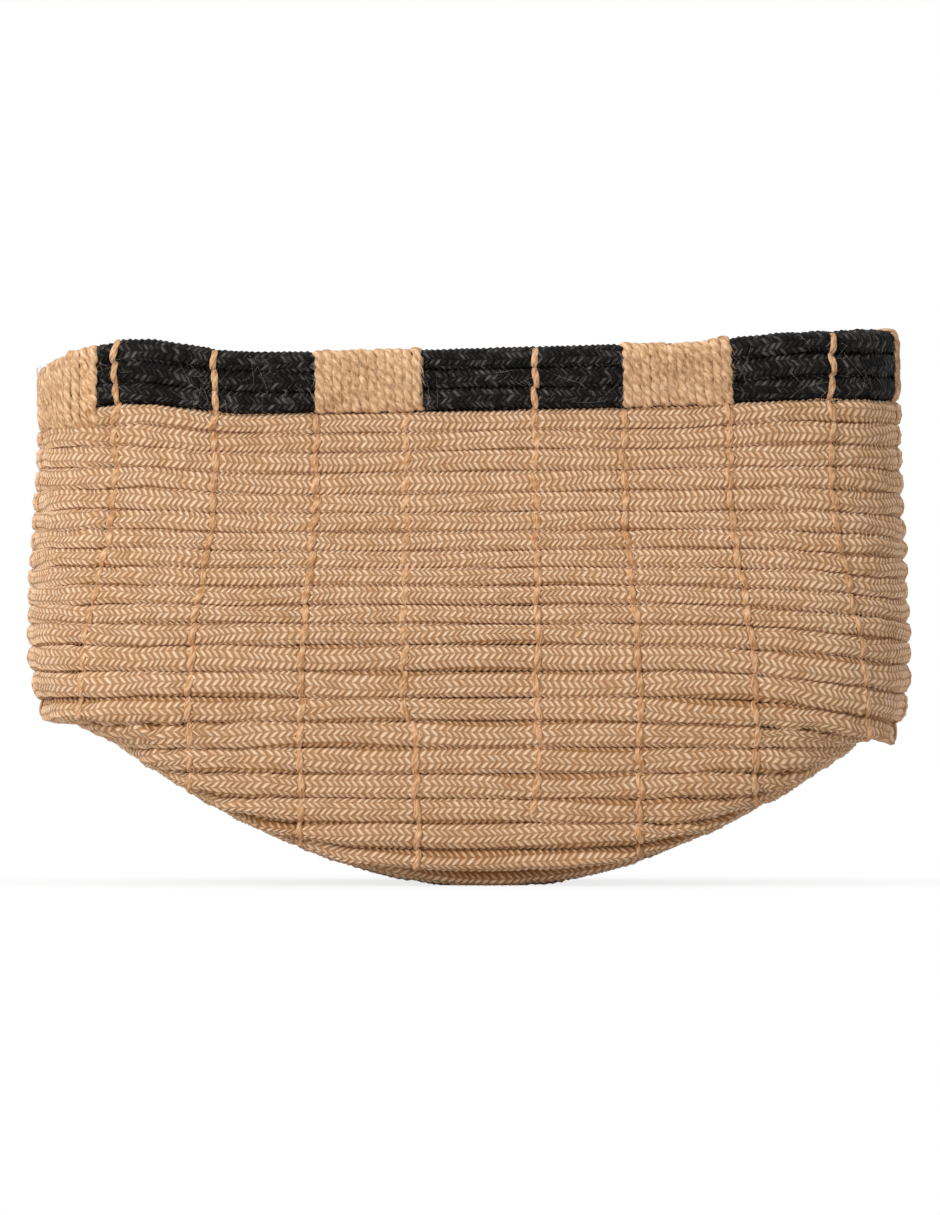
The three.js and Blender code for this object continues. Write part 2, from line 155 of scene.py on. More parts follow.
@dataclass(frozen=True)
class BasketForm:
    """Surface of the basket and the path of its rope, in millimetres.

    Rows count down from the first natural row, row 0. The rim rows are -3 to -1, the wall rows 0 to
    20 and the base rows 21 to 30. A turn counts whole loops of the rope from the middle of the back.
    """

    rim_rows: int = 3
    wall_rows: int = 21
    base_rows: int = 10
    belly_row: int = 12
    ear_row: int = 14
    lower_rows: int = 9
    middle_rows: int = 6
    shift_rows: int = 2
    edge_row_height: float = 11
    lower_pitch: float = 11.45
    middle_pitch: float = 8.1
    upper_pitch: float = 9.4
    rim_half_length: float = 189.3
    belly_half_length: float = 194.6
    ear_half_length: float = 190.3
    lobe_half_length: float = 171
    centre_half_length: float = 8
    rim_half_depth: float = 111
    belly_half_depth: float = 133
    edge_half_depth: float = 127
    base_half_depth: float = 117
    wall_round_share: float = 0.32
    base_round_share: float = 1
    lobe_spread_share: float = 0.1
    keel_rounding: float = 145
    keel_slope_share: float = 0.9
    keel_shift: float = 8.5
    keel_blend: float = 6
    rope_thickness: float = 11.6
    rim_rope_thickness: float = 10.4
    floor_cut: float = 1.2
    left_rim_droop: float = 11
    left_droop_start_share: float = 0.8
    left_droop_rows: int = 4
    right_rim_lift: float = 3
    right_ear_droop: float = 11
    droop_start_share: float = 0.4
    rim_tilt_share: float = 0.022
    left_rim_bump: float = 7
    right_rim_bump: float = 2.5
    rim_bump_width: float = 34
    rim_bump_place: float = 152
    wave_last_row: int = 10
    climb_start: float = 0.33
    climb_end: float = 0.91
    swells: tuple[Wave, ...] = (
        Wave(9, 0.35, 0, 1 / 19),
        Wave(14, 0.28, 2, -1 / 31),
        Wave(23, 0.245, 4, 1 / 11),
    )
    wanders: tuple[Wave, ...] = (Wave(11.3, 0.27), Wave(17.6, 0.189, 1))
    rises: tuple[Wave, ...] = (Wave(8.7, 0.45, 3), Wave(21.4, 0.27, 5), Wave(37.3, 0.225, 1))
    still_turns: float = 1
    fade_turns: float = 6
    centre_radius: float = 30

    @property
    def last_row(self) -> int:
        """Row number at the middle of the base."""
        return self.wall_rows + self.base_rows

    def front_height(self, row: np.ndarray) -> np.ndarray:
        """Height of a row on the front face: three ranges of rows, each with its own pitch.

        Args:
            row: row numbers.

        Returns:
            Heights in millimetres.
        """
        above = self.wall_rows - 1 - row
        lower = np.minimum(above, self.lower_rows)
        middle = np.clip(above - self.lower_rows, 0, self.middle_rows)
        upper = np.maximum(above - self.lower_rows - self.middle_rows, 0)
        return (
            self.edge_row_height
            + lower * self.lower_pitch
            + middle * self.middle_pitch
            + upper * self.upper_pitch
        )

    def half_length(self, row: np.ndarray) -> np.ndarray:
        """Half length of a row: a sine-squared swell to the belly, ears, then lobes that shrink.

        Args:
            row: row numbers.

        Returns:
            Half lengths to the middle of the rope, in millimetres.
        """
        top = self.rim_rows
        swell = np.sin(np.pi / 2 * (row + top) / (self.belly_row + top)) ** 2
        wall = lerp(self.rim_half_length, self.belly_half_length, swell)
        to_ear = (row - self.belly_row) / (self.ear_row - self.belly_row)
        ear = lerp(self.belly_half_length, self.ear_half_length, to_ear)
        step = lerp(self.ear_half_length, self.lobe_half_length, row - self.ear_row)
        inward = (row - self.ear_row - 1) / (self.last_row - self.ear_row - 1)
        lobe = self.lobe_half_length * (1 - inward) * (1 + self.lobe_spread_share * inward)
        lobe = lobe + self.centre_half_length * inward
        ranges = [row <= self.belly_row, row <= self.ear_row, row <= self.ear_row + 1]
        return np.select(ranges, [wall, ear, step], lobe)

    def half_depth(self, row: np.ndarray) -> np.ndarray:
        """Half depth of a row: swells to the belly, draws in to the lower edge, then to nothing.

        Args:
            row: row numbers.

        Returns:
            Half depths to the middle of the rope, in millimetres.
        """
        edge_row = self.wall_rows - 1
        share = smoothstep(row, 0, self.belly_row)
        wall = lerp(self.rim_half_depth, self.belly_half_depth, share)
        down = (row - self.belly_row) / (edge_row - self.belly_row)
        lower = lerp(self.belly_half_depth, self.edge_half_depth, down**2)
        turn_under = lerp(self.edge_half_depth, self.base_half_depth, row - edge_row)
        base = self.base_half_depth * (self.last_row - row) / self.base_rows
        ranges = [row <= self.belly_row, row <= edge_row, row <= self.wall_rows]
        return np.select(ranges, [wall, lower, turn_under], base)

    def sag(self, row: np.ndarray, x: np.ndarray) -> np.ndarray:
        """Soft droop of the rows towards the sides, with the tilt and bumps of the rim.

        The droop grows as a square from its start to the side. A bump is a bell curve, and the one
        on the left stays level beyond its place.

        Args:
            row: row numbers.
            x: place along the basket.

        Returns:
            Heights to add to the front height.
        """
        down = (row + self.rim_rows) / (self.ear_row + self.rim_rows)
        reach = self.half_length(np.minimum(row, self.ear_row))
        start = np.where(x < 0, self.left_droop_start_share, self.droop_start_share)
        side = np.maximum((np.abs(x / reach) - start) / (1 - start), 0) ** 2
        held = np.clip(1 - (row + self.rim_rows) / self.left_droop_rows, 0, 1)
        left = self.left_rim_droop * held
        right = lerp(-self.right_rim_lift, self.right_ear_droop, down)
        fade = self.wave_last_row + self.rim_rows
        wave = np.clip((self.wave_last_row - row) / fade, 0, 1)
        place = self.rim_bump_place
        bumps = [
            height * np.exp(-((away / self.rim_bump_width) ** 2))
            for height, away in (
                (self.left_rim_bump, np.maximum(x + place, 0)),
                (self.right_rim_bump, x - place),
            )
        ]
        wall = np.clip(self.ear_row + 1 - row, 0, 1)
        droop = wall * side * np.where(x < 0, left, right)
        return wave * (self.rim_tilt_share * x + sum(bumps)) - droop

    def surface(self, row: np.ndarray, angle: np.ndarray) -> np.ndarray:
        """Point of the basket: a rounded rectangle in plan, level rows above, a cradle below.

        The plan is a superellipse, x = a cos^p and y = b sin^p with the signs kept. The height is
        the row's own, and below the ears the larger of it and the curved underside, blended.

        Args:
            row: row numbers.
            angle: angles round the basket.

        Returns:
            Points, one row each.
        """
        inward = np.clip((row - self.ear_row) / (self.last_row - self.ear_row), 0, 1)
        power = lerp(self.wall_round_share, self.base_round_share, inward**2)
        across, along = np.cos(angle), np.sin(angle)
        shift = self.keel_shift * np.clip((row - self.ear_row) / self.shift_rows, 0, 1)
        x = shift + self.half_length(row) * np.sign(across) * np.abs(across) ** power
        y = self.half_depth(row) * np.sign(along) * np.abs(along) ** power
        face = self.front_height(row) + self.sag(row, x)
        slope = self.keel_slope_share * (x - self.keel_shift)
        keel = np.hypot(self.keel_rounding, slope) - self.keel_rounding
        under = keel + self.rope_thickness / 2 - self.floor_cut
        blended = (face + under + np.hypot(face - under, self.keel_blend)) / 2
        height = lerp(face, blended, np.clip(row - self.ear_row, 0, 1))
        return np.stack([x, y, height], axis=-1)

    def path(self, turn: np.ndarray) -> np.ndarray:
        """Middle of the rope, which steps down to the next row on the right half of the back.

        Args:
            turn: whole loops from the middle of the back.

        Returns:
            Points, one row each.
        """
        loop = np.floor(turn)
        share = turn - loop
        climb = smoothstep((share - 3 / 4) * 4, self.climb_start, self.climb_end)
        return self.surface(loop + climb, np.pi / 2 * (1 + 4 * share))

    def soft_path(self, turn: np.ndarray) -> np.ndarray:
        """The path with the unevenness of a soft, hand-sewn basket.

        A slow swell moves neighbouring rows in and out together: waves of the angle round the
        basket and of the height. Smaller waves of the turn let each row wander by itself. All of
        them fade towards the middle of the base.

        Args:
            turn: whole loops from the middle of the back.

        Returns:
            Points, one row each.
        """
        points = self.path(turn)
        x, y, z = points[..., 0], points[..., 1], points[..., 2]
        around = np.arctan2(y / self.belly_half_depth, x / self.belly_half_length)
        plan = points * (1, 1, 0)
        radius = np.linalg.norm(plan, axis=-1, keepdims=True)
        outward = plan / np.maximum(radius, self.centre_radius)
        fade = smoothstep(self.last_row - turn, self.still_turns, self.fade_turns)
        offset = ripple(self.swells, around, z) + ripple(self.wanders, FULL_TURN * turn)
        points = points + outward * (offset * fade)[..., None]
        points[..., 2] += ripple(self.rises, FULL_TURN * turn) * fade
        return points

    def direction(self, turn: np.ndarray, step: float = 0.001) -> np.ndarray:
        """Direction of the rope: a short chord on both sides of a turn."""
        return unit(self.soft_path(turn + step) - self.soft_path(turn - step))

    def upward(self, turn: np.ndarray) -> np.ndarray:
        """Direction from the row below to the row above."""
        return unit(self.soft_path(turn - 1) - self.soft_path(turn + 1))

    def outward(self, turn: np.ndarray) -> np.ndarray:
        """Direction away from the basket: the rope's direction crossed with the upward one."""
        return unit(np.cross(self.direction(turn), self.upward(turn)))

    def radius(self, turn: np.ndarray) -> np.ndarray:
        """Half thickness of the rope: the black rim rope is a little thinner."""
        return np.where(turn < 0, self.rim_rope_thickness, self.rope_thickness) / 2

    def crest(self, turn: np.ndarray) -> np.ndarray:
        """Outermost point of the rope: its middle moved outwards by half of its thickness."""
        return self.soft_path(turn) + self.outward(turn) * self.radius(turn)[..., None]


@dataclass(frozen=True)
class RopeFrames:
    """Dense table of a rope's cross-sections along its length.

    Args:
        turn: turns of the table.
        length: distance along the rope.
        centre: middle of the rope.
        outward: direction away from the basket.
        up: reach towards the row above.
        down: reach towards the row below.
    """

    turn: np.ndarray
    length: np.ndarray
    centre: np.ndarray
    outward: np.ndarray
    up: np.ndarray
    down: np.ndarray


@dataclass(frozen=True)
class RopeRun:
    """A length of rope between two turns. Rows with a gap below zero press into each other.

    Args:
        first: first turn.
        last: last turn.
        thickness: thickness of the rope.
        gap: gap between its own rows.
        gap_above: gap to the rope above its first loop.
        gap_below: gap to the rope below its last loop.
        blend: share of a loop in which one gap passes into the other.
        samples: entries of the table in each loop.
    """

    first: float
    last: float
    thickness: float
    gap: float = -1.3
    gap_above: float = -0.4
    gap_below: float = -0.4
    blend: float = 0.25
    samples: int = 1500

    def frames(self, form: BasketForm) -> RopeFrames:
        """Works out the cross-sections.

        Up and down are half of the way to the same turn of the next row, square to the rope and
        shorter by half of the gap. Outward is the tangent crossed with the direction up.

        Args:
            form: the form of the basket.

        Returns:
            The table.
        """
        count = int((self.last - self.first) * self.samples)
        turn = np.linspace(self.first, self.last, count)
        centre = form.soft_path(turn)
        tangent = form.direction(turn, 1 / self.samples)
        since_start = smoothstep(turn - self.first, 1 - self.blend, 1)
        to_end = smoothstep(turn - self.last, -1 - self.blend, -1)
        above = lerp(self.gap_above, self.gap, since_start)
        below = lerp(self.gap, self.gap_below, to_end)
        up = self.reach(centre, form.soft_path(turn - 1), tangent, above)
        down = self.reach(centre, form.soft_path(turn + 1), tangent, below)
        outward = unit(np.cross(tangent, unit(up - down)))
        steps = np.linalg.norm(np.diff(centre, axis=0), axis=1)
        length = np.concatenate([[0], np.cumsum(steps)])
        return RopeFrames(turn, length, centre, outward, up, down)

    @staticmethod
    def reach(
        centre: np.ndarray, neighbour: np.ndarray, tangent: np.ndarray, gap: np.ndarray
    ) -> np.ndarray:
        """Half of the way to a neighbour, square to the rope, shorter by half of the gap.

        Args:
            centre: middle of the rope.
            neighbour: middle of the row beside it.
            tangent: direction of the rope.
            gap: gap between the rows.

        Returns:
            The vectors from the centre.
        """
        half = (neighbour - centre) / 2
        half = half - tangent * np.sum(half * tangent, axis=-1, keepdims=True)
        size = np.linalg.norm(half, axis=-1, keepdims=True)
        return half * (size - gap[..., None] / 2) / size


# Meshes


def mesh_object(
    name: str, points: np.ndarray, quads: np.ndarray, caps: np.ndarray, uv: np.ndarray | None
) -> bpy.types.Object:
    """Makes a smooth mesh object at the origin from points in millimetres.

    Args:
        name: name of the piece.
        points: vertices.
        quads: four vertex numbers per face.
        caps: three vertex numbers per closing face.
        uv: pattern coordinates of each corner of the quads, or None.

    Returns:
        The object, linked to the scene.
    """
    loops = np.concatenate([quads.ravel(), caps.ravel()]).astype(np.int32)
    sizes = np.concatenate([np.full(len(quads), 4), np.full(len(caps), 3)]).astype(np.int32)
    starts = np.concatenate([[0], np.cumsum(sizes)[:-1]]).astype(np.int32)
    mesh = bpy.data.meshes.new(name)
    mesh.vertices.add(len(points))
    mesh.loops.add(len(loops))
    mesh.polygons.add(len(sizes))
    mesh.vertices.foreach_set("co", (points * MM).astype(np.float32).ravel())
    mesh.loops.foreach_set("vertex_index", loops)
    mesh.polygons.foreach_set("loop_start", starts)
    mesh.polygons.foreach_set("loop_total", sizes)
    if uv is not None:
        corners = np.zeros((len(loops), 2), np.float32)
        corners[: quads.size] = uv.reshape(-1, 2)
        mesh.uv_layers.new(name="lay").data.foreach_set("uv", corners.ravel())
    mesh.update(calc_edges=True)
    mesh.polygons.foreach_set("use_smooth", np.ones(len(sizes), bool))
    mesh.validate()
    piece = bpy.data.objects.new(name, mesh)
    bpy.context.scene.collection.objects.link(piece)
    return piece


def tube(
    name: str, rings: np.ndarray, along: np.ndarray, around: np.ndarray
) -> bpy.types.Object:
    """Joins rings of points into a closed tube.

    Args:
        name: name of the piece.
        rings: points as rings x sides x 3, each ring in the turning sense of the tube's direction.
        along: pattern coordinate of each ring.
        around: pattern coordinate of each side, and one more for the way back to the first.

    Returns:
        The object.
    """
    count, sides = rings.shape[:2]
    ring, side = np.meshgrid(np.arange(count - 1), np.arange(sides), indexing="ij")
    here, beside = ring * sides + side, ring * sides + (side + 1) % sides
    quads = np.stack([here, here + sides, beside + sides, beside], axis=-1).reshape(-1, 4)
    low, high = along[ring], along[ring + 1]
    left, right = around[side], around[side + 1]
    corners = [(low, left), (high, left), (high, right), (low, right)]
    uv = np.stack([np.stack(pair, axis=-1) for pair in corners], axis=-2)
    first, last = count * sides, count * sides + 1
    edge = np.arange(sides)
    after = (edge + 1) % sides
    start = np.stack([np.full(sides, first), edge, after], axis=-1)
    final = (count - 1) * sides
    end = np.stack([np.full(sides, last), final + after, final + edge], axis=-1)
    middles = np.stack([rings[0].mean(axis=0), rings[-1].mean(axis=0)])
    points = np.concatenate([rings.reshape(-1, 3), middles])
    return mesh_object(name, points, quads, np.concatenate([start, end]), uv)


def finish_piece(piece: bpy.types.Object, material: bpy.types.Material) -> None:
    """Gives a piece its material and slot, lets it ride, and reports it.

    Args:
        piece: the piece.
        material: its finish.
    """
    piece.data.materials.append(material)
    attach(piece, "root")
    size = [round(side, 3) for side in piece.dimensions]
    LOG.info("%s: %d faces, %s m", piece.name, len(piece.data.polygons), size)


# Finishes


def linear(hex_colour: str) -> tuple[float, float, float, float]:
    """Turns an sRGB hex colour into linear red, green, blue and alpha."""
    parts = [int(hex_colour[place : place + 2], 16) / 255 for place in (1, 3, 5)]
    return tuple(p / 12.92 if p <= 0.04045 else ((p + 0.055) / 1.055) ** 2.4 for p in parts) + (1.0,)


def add_node(
    tree: bpy.types.NodeTree, kind: str, inputs: dict[str | int, object], **settings: object
) -> bpy.types.NodeOutputs:
    """Adds a node with its settings and inputs.

    Args:
        tree: node tree.
        kind: Blender's type of node, without its prefix.
        inputs: input name or number to a value, or to the output that feeds it.
        **settings: properties of the node.

    Returns:
        The node's outputs.
    """
    node = tree.nodes.new(f"ShaderNode{kind}")
    for key, value in settings.items():
        setattr(node, key, value)
    for key, value in inputs.items():
        if isinstance(value, bpy.types.NodeSocket):
            tree.links.new(value, node.inputs[key])
        else:
            node.inputs[key].default_value = value
    return node.outputs


def new_material(name: str) -> tuple[bpy.types.Material, bpy.types.NodeTree, bpy.types.Node]:
    """Starts a material.

    Args:
        name: name of the material.

    Returns:
        The material, its node tree and its shader.
    """
    material = bpy.data.materials.new(name)
    material.use_nodes = True
    return material, material.node_tree, material.node_tree.nodes["Principled BSDF"]


def weighted_sum(
    tree: bpy.types.NodeTree, start: float, *parts: tuple[bpy.types.NodeSocket, float]
) -> bpy.types.NodeSocket:
    """Adds parts, each times its share, to a value.

    Args:
        tree: node tree.
        start: value to start from.
        *parts: sockets and their shares.

    Returns:
        The sum.
    """
    total = start
    for part, share in parts:
        values = {0: part, 1: share, 2: total}
        total = add_node(tree, "Math", values, operation="MULTIPLY_ADD")[0]
    return total


@dataclass(frozen=True)
class JuteFinish:
    """What braid, twine and yarn have in common: dry bast fibre, matt, with a faint sheen.

    The eye sees three tones of fibre and soft patches where the jute is paler or browner. The lines
    where two strands meet are darkened with painted shade.

    Args:
        name: the material and how it was made.
        dark: colour of the brownest fibres.
        middle: colour of most fibres.
        light: colour of the palest fibres.
        groove: colour of the painted shade between two strands.
        roughness: roughness of the fibre.
        sheen: fuzz that catches the light at the edges.
        specular: strength of reflections.
        dark_tone: tone of the brownest fibres; that of the palest is as far from 1.
        seam_sharpness: power that narrows the painted shade line between two strands.
        patch_share: how much the patches change the tone.
        patches_per_metre: patches are about 22 mm wide in braid.
        bump: height of the fibres, in metres.
    """

    name: str
    dark: str
    middle: str
    light: str
    groove: str
    roughness: float = 0.85
    sheen: float = 0.1
    specular: float = 0.2
    dark_tone: float = 0.2
    seam_sharpness: float = 5
    patch_share: float = 0.35
    patches_per_metre: float = 45
    bump: float = 0.0006

    def patches(self, tree: bpy.types.NodeTree) -> bpy.types.NodeSocket:
        """Soft patches: noise on the object's own coordinates.

        Args:
            tree: node tree.

        Returns:
            A value about 0.5, higher and lower from patch to patch.
        """
        place = add_node(tree, "TexCoord", {})["Object"]
        look = {"Vector": place, "Scale": self.patches_per_metre, "Detail": 2.0}
        return add_node(tree, "TexNoise", look)[0]

    def seam(self, tree: bpy.types.NodeTree, v: bpy.types.NodeSocket) -> bpy.types.NodeSocket:
        """Painted shade line between two strands, at whole numbers of v.

        The formula is one minus twice the distance to the nearest whole number, to a power.

        Args:
            tree: node tree.
            v: count of strands round the piece.

        Returns:
            1 on the line, falling to 0 on both sides.
        """
        away = add_node(tree, "Math", {0: v, 1: 0.5}, operation="PINGPONG")[0]
        near = weighted_sum(tree, 1.0, (away, -2.0))
        return add_node(tree, "Math", {0: near, 1: self.seam_sharpness}, operation="POWER")[0]

    def dress(
        self,
        shader: bpy.types.Node,
        tone: bpy.types.NodeSocket,
        groove: bpy.types.NodeSocket,
        height: bpy.types.NodeSocket,
    ) -> None:
        """Feeds the shader: a ramp of the three tones, mixed with the painted shade colour, and a bump.

        Args:
            shader: the shader.
            tone: tone of the fibre.
            groove: share of the painted shade colour.
            height: height for the bump.
        """
        tree = shader.id_data
        fibre = add_node(tree, "ValToRGB", {0: tone})[0]
        steps = fibre.node.color_ramp.elements
        steps[0].position, steps[0].color = self.dark_tone, linear(self.dark)
        steps[1].position, steps[1].color = 1 - self.dark_tone, linear(self.light)
        steps.new(0.5).color = linear(self.middle)
        # The groove colour is painted shade, mixed in by its share
        colours = {0: groove, 6: fibre, 7: linear(self.groove)}
        colour = add_node(tree, "Mix", colours, data_type="RGBA")[2]
        bump = add_node(tree, "Bump", {"Height": height, "Distance": self.bump})[0]
        tree.links.new(colour, shader.inputs["Base Color"])
        tree.links.new(bump, shader.inputs["Normal"])
        shader.inputs["Roughness"].default_value = self.roughness
        shader.inputs["Sheen Weight"].default_value = self.sheen
        shader.inputs["Specular IOR Level"].default_value = self.specular


@dataclass(frozen=True)
class BraidFinish(JuteFinish):
    """Braided jute: flat strands of coarse, matt fibre that lie side by side.

    The crown of each strand leg keeps the fibre's tones. Painted shade, darker and warmer, fills the
    groove between two legs and the edges where the rope lies against the next row. Legs differ a
    little.
    Fibres are about 0.1 mm, too fine to show, and are drawn as six streaks to a leg, 0.5 mm each.

    Args:
        columns: columns of strand legs round the rope.
        ridge_share: width of the pale crown, as a share of a leg.
        valley_share: width of a leg up to where the groove is darkest.
        groove_share: how much painted shade the groove takes.
        tip_share: painted shade at the tips of a leg, against that of the groove.
        painted_side_shade_share: how much painted shade the edges of the rope take, where it lies
            against the next rows.
        painted_side_shade_reach: distances from the edge, in columns, between which that fades.
        streaks_per_leg: streaks of fibre across a leg.
        streak_slowness: changes of a streak in one column.
        leg_share: how much the legs differ in tone.
        leg_spread: distance in the noise between two legs.
        tone_shift: moves all tones.
        streak_height: height of the streaks in the bump.
    """

    columns: int = 12
    ridge_share: float = 0.18
    valley_share: float = 0.84
    groove_share: float = 0.8
    tip_share: float = 0.7
    painted_side_shade_share: float = 0.55
    painted_side_shade_reach: tuple[float, float] = (0.3, 1.4)
    streaks_per_leg: float = 6
    streak_slowness: float = 1.3
    leg_share: float = 0.32
    leg_spread: float = 57
    tone_shift: float = -0.33
    streak_height: float = 0.45

    def material(self) -> bpy.types.Material:
        """Builds the finish.

        The lay of the pattern is u, the count of legs along the rope, and v, the count of strand
        columns round it. Streaks are noise drawn out along the legs.

        Returns:
            The material.
        """
        material, tree, shader = new_material(self.name)
        lay = add_node(tree, "UVMap", {}, uv_map="lay")[0]
        u, v, _ = add_node(tree, "SeparateXYZ", {0: lay})
        leg = add_node(tree, "Math", {0: u}, operation="ROUND")[0]
        column = add_node(tree, "Math", {0: v}, operation="FLOOR")[0]
        key = add_node(tree, "CombineXYZ", {0: leg, 1: column})[0]
        chance = add_node(tree, "TexWhiteNoise", {0: key}, noise_dimensions="3D")[0]
        across = weighted_sum(tree, 0.0, (u, self.streaks_per_leg), (chance, self.leg_spread))
        place = {0: across, 1: weighted_sum(tree, 0.0, (v, self.streak_slowness)), 2: column}
        place = add_node(tree, "CombineXYZ", place)[0]
        streak = add_node(tree, "TexNoise", {"Vector": place, "Scale": 1.0, "Detail": 2.0})[0]
        patches = (self.patches(tree), self.patch_share)
        tone = weighted_sum(tree, self.tone_shift, (streak, 1.0), (chance, self.leg_share), patches)
        # Painted shade: the groove colour darkens the grooves between legs, the tips of the legs and
        # the rope's edges against the next rows; the same depth drives the bump
        groove_depth_and_shade = self.grooves(tree, u, v)
        groove = {0: groove_depth_and_shade, 1: self.groove_share, 2: self.edges(tree, v)}
        groove = add_node(tree, "Math", groove, operation="MULTIPLY_ADD", use_clamp=True)[0]
        height = weighted_sum(tree, 0.0, (streak, self.streak_height), (groove_depth_and_shade, -1.0))
        self.dress(shader, tone, groove, height)
        return material

    def grooves(
        self, tree: bpy.types.NodeTree, u: bpy.types.NodeSocket, v: bpy.types.NodeSocket
    ) -> bpy.types.NodeSocket:
        """Painted shade and bump depth of the grooves between legs, and of their tips, where two
        columns meet.

        Args:
            tree: node tree.
            u: count of legs.
            v: count of columns.

        Returns:
            0 on the crown of a leg, rising in a straight line to 1 in the groove and at the tips.
        """
        away = add_node(tree, "Math", {0: u, 1: 0.5}, operation="PINGPONG")[0]
        limits = {0: away, 1: self.ridge_share / 2, 2: self.valley_share / 2}
        valley = add_node(tree, "MapRange", limits)[0]
        groove_depth_and_shade = {0: self.seam(tree, v), 1: self.tip_share, 2: valley}
        return add_node(tree, "Math", groove_depth_and_shade, operation="MULTIPLY_ADD", use_clamp=True)[0]

    def edges(
        self, tree: bpy.types.NodeTree, v: bpy.types.NodeSocket
    ) -> bpy.types.NodeSocket:
        """Painted shade a quarter of the way round, where the rope lies against the next rows.

        Args:
            tree: node tree.
            v: count of columns, 0 at the front.

        Returns:
            The share at the edges, falling to 0 on both sides.
        """
        quarter = self.columns / 4
        inward = add_node(tree, "Math", {0: v, 1: quarter}, operation="PINGPONG")[0]
        low, high = self.painted_side_shade_reach
        limits = {0: weighted_sum(tree, quarter, (inward, -1.0)), 1: low, 2: high}
        return add_node(tree, "MapRange", {**limits, 3: self.painted_side_shade_share, 4: 0.0})[0]


@dataclass(frozen=True)
class TwistFinish(JuteFinish):
    """Twisted jute: two plies of long fibre, drawn out along the twist.

    The eye sees slanted streaks in each ply, and painted shade darkens the line where the plies meet.
    A streak is a lock of fibres, about 3 mm long and 1 or 2 mm wide, with finer ones in it.

    Args:
        twist_length: length of one full twist, in millimetres, below zero for a left-hand twist.
        fibre_lean: how much less the fibres lean than the plies, which are spun the other way.
        streaks_per_mm: changes of a streak in each millimetre of twine.
        streaks_per_ply: streaks round a ply.
        streak_share: how much the streaks change the tone.
        tone_shift: moves all tones.
        groove_share: how much painted shade the line between the plies takes.
    """

    dark_tone: float = 0.25
    patch_share: float = 0.4
    patches_per_metre: float = 90
    bump: float = 0.0004
    twist_length: float = 15
    fibre_lean: float = 0.6
    streaks_per_mm: float = 0.35
    streaks_per_ply: float = 4
    streak_share: float = 1.3
    tone_shift: float = -0.35
    groove_share: float = 0.65

    def material(self) -> bpy.types.Material:
        """Builds the finish: u is millimetres along the twine, v is plies round it.

        Returns:
            The material.
        """
        material, tree, shader = new_material(self.name)
        lay = add_node(tree, "UVMap", {}, uv_map="lay")[0]
        u, v, _ = add_node(tree, "SeparateXYZ", {0: lay})
        back_twist = -2 * self.fibre_lean / self.twist_length
        around = weighted_sum(
            tree, 0.0, (v, self.streaks_per_ply), (u, back_twist * self.streaks_per_ply)
        )
        along = weighted_sum(tree, 0.0, (u, self.streaks_per_mm))
        place = add_node(tree, "CombineXYZ", {0: along, 1: around})[0]
        streak = add_node(tree, "TexNoise", {"Vector": place, "Scale": 1.0, "Detail": 3.0})[0]
        patches = (self.patches(tree), self.patch_share)
        tone = weighted_sum(tree, self.tone_shift, (streak, self.streak_share), patches)
        # Painted shade along the line where the plies meet
        groove = weighted_sum(tree, 0.0, (self.seam(tree, v), self.groove_share))
        self.dress(shader, tone, groove, streak)
        return material


@dataclass(frozen=True)
class FibreFinish:
    """Single jute fibres: slightly glossy, from tan to pale along their length.

    Args:
        name: name of the material.
        tan: colour of the darker stretches.
        pale: colour of the paler stretches.
        roughness: roughness of the fibre.
        changes_per_metre: the colour changes every 6 mm or so.
    """

    name: str
    tan: str
    pale: str
    roughness: float = 0.6
    changes_per_metre: float = 160

    def material(self) -> bpy.types.Material:
        """Builds the finish: noise on the object's own coordinates mixes the two colours.

        Returns:
            The material.
        """
        material, tree, shader = new_material(self.name)
        place = add_node(tree, "TexCoord", {})["Object"]
        look = {"Vector": place, "Scale": self.changes_per_metre}
        tone = add_node(tree, "TexNoise", look)[0]
        colours = {0: tone, 6: linear(self.tan), 7: linear(self.pale)}
        colour = add_node(tree, "Mix", colours, data_type="RGBA")[2]
        tree.links.new(colour, shader.inputs["Base Color"])
        shader.inputs["Roughness"].default_value = self.roughness
        return material


# The last colour of each braid is painted shade for the grooves, the tips of the legs and the rope's
# edges
NATURAL_BRAID = BraidFinish("braided natural jute", "#C99C70", "#EFC9A4", "#F1D4B5", "#976636")
# Dye fills the fibre, so that only the crowns of the legs catch a little light; its near-black last
# colour is painted shade in the grooves and at the rope's edges
BLACK_BRAID = BraidFinish(
    "braided jute dyed black",
    "#0B0A0A",
    "#1E1C1B",
    "#6E6965",
    "#030303",
    roughness=0.65,
    sheen=0,
    specular=0.1,
)
# The last colour of the twine is painted shade on the line where the plies meet
NATURAL_TWINE = TwistFinish(
    "twisted jute twine", "#A2764D", "#D6AB82", "#F1D1AA", "#94673C", twist_length=-9.6
)
# The last colour of the yarn is painted shade on the line where the plies meet
STITCH_YARN = TwistFinish("twisted jute yarn", "#A16E43", "#CA9C71", "#E8C19B", "#8F5F36")
BLEACHED_FIBRE = FibreFinish("bleached jute fibre", "#A8937B", "#DDD0BE")
TWINE_FIBRE = FibreFinish("twine fibre", "#BE9064", "#F0D4B0")


# Places on the rim, and lines of stitches


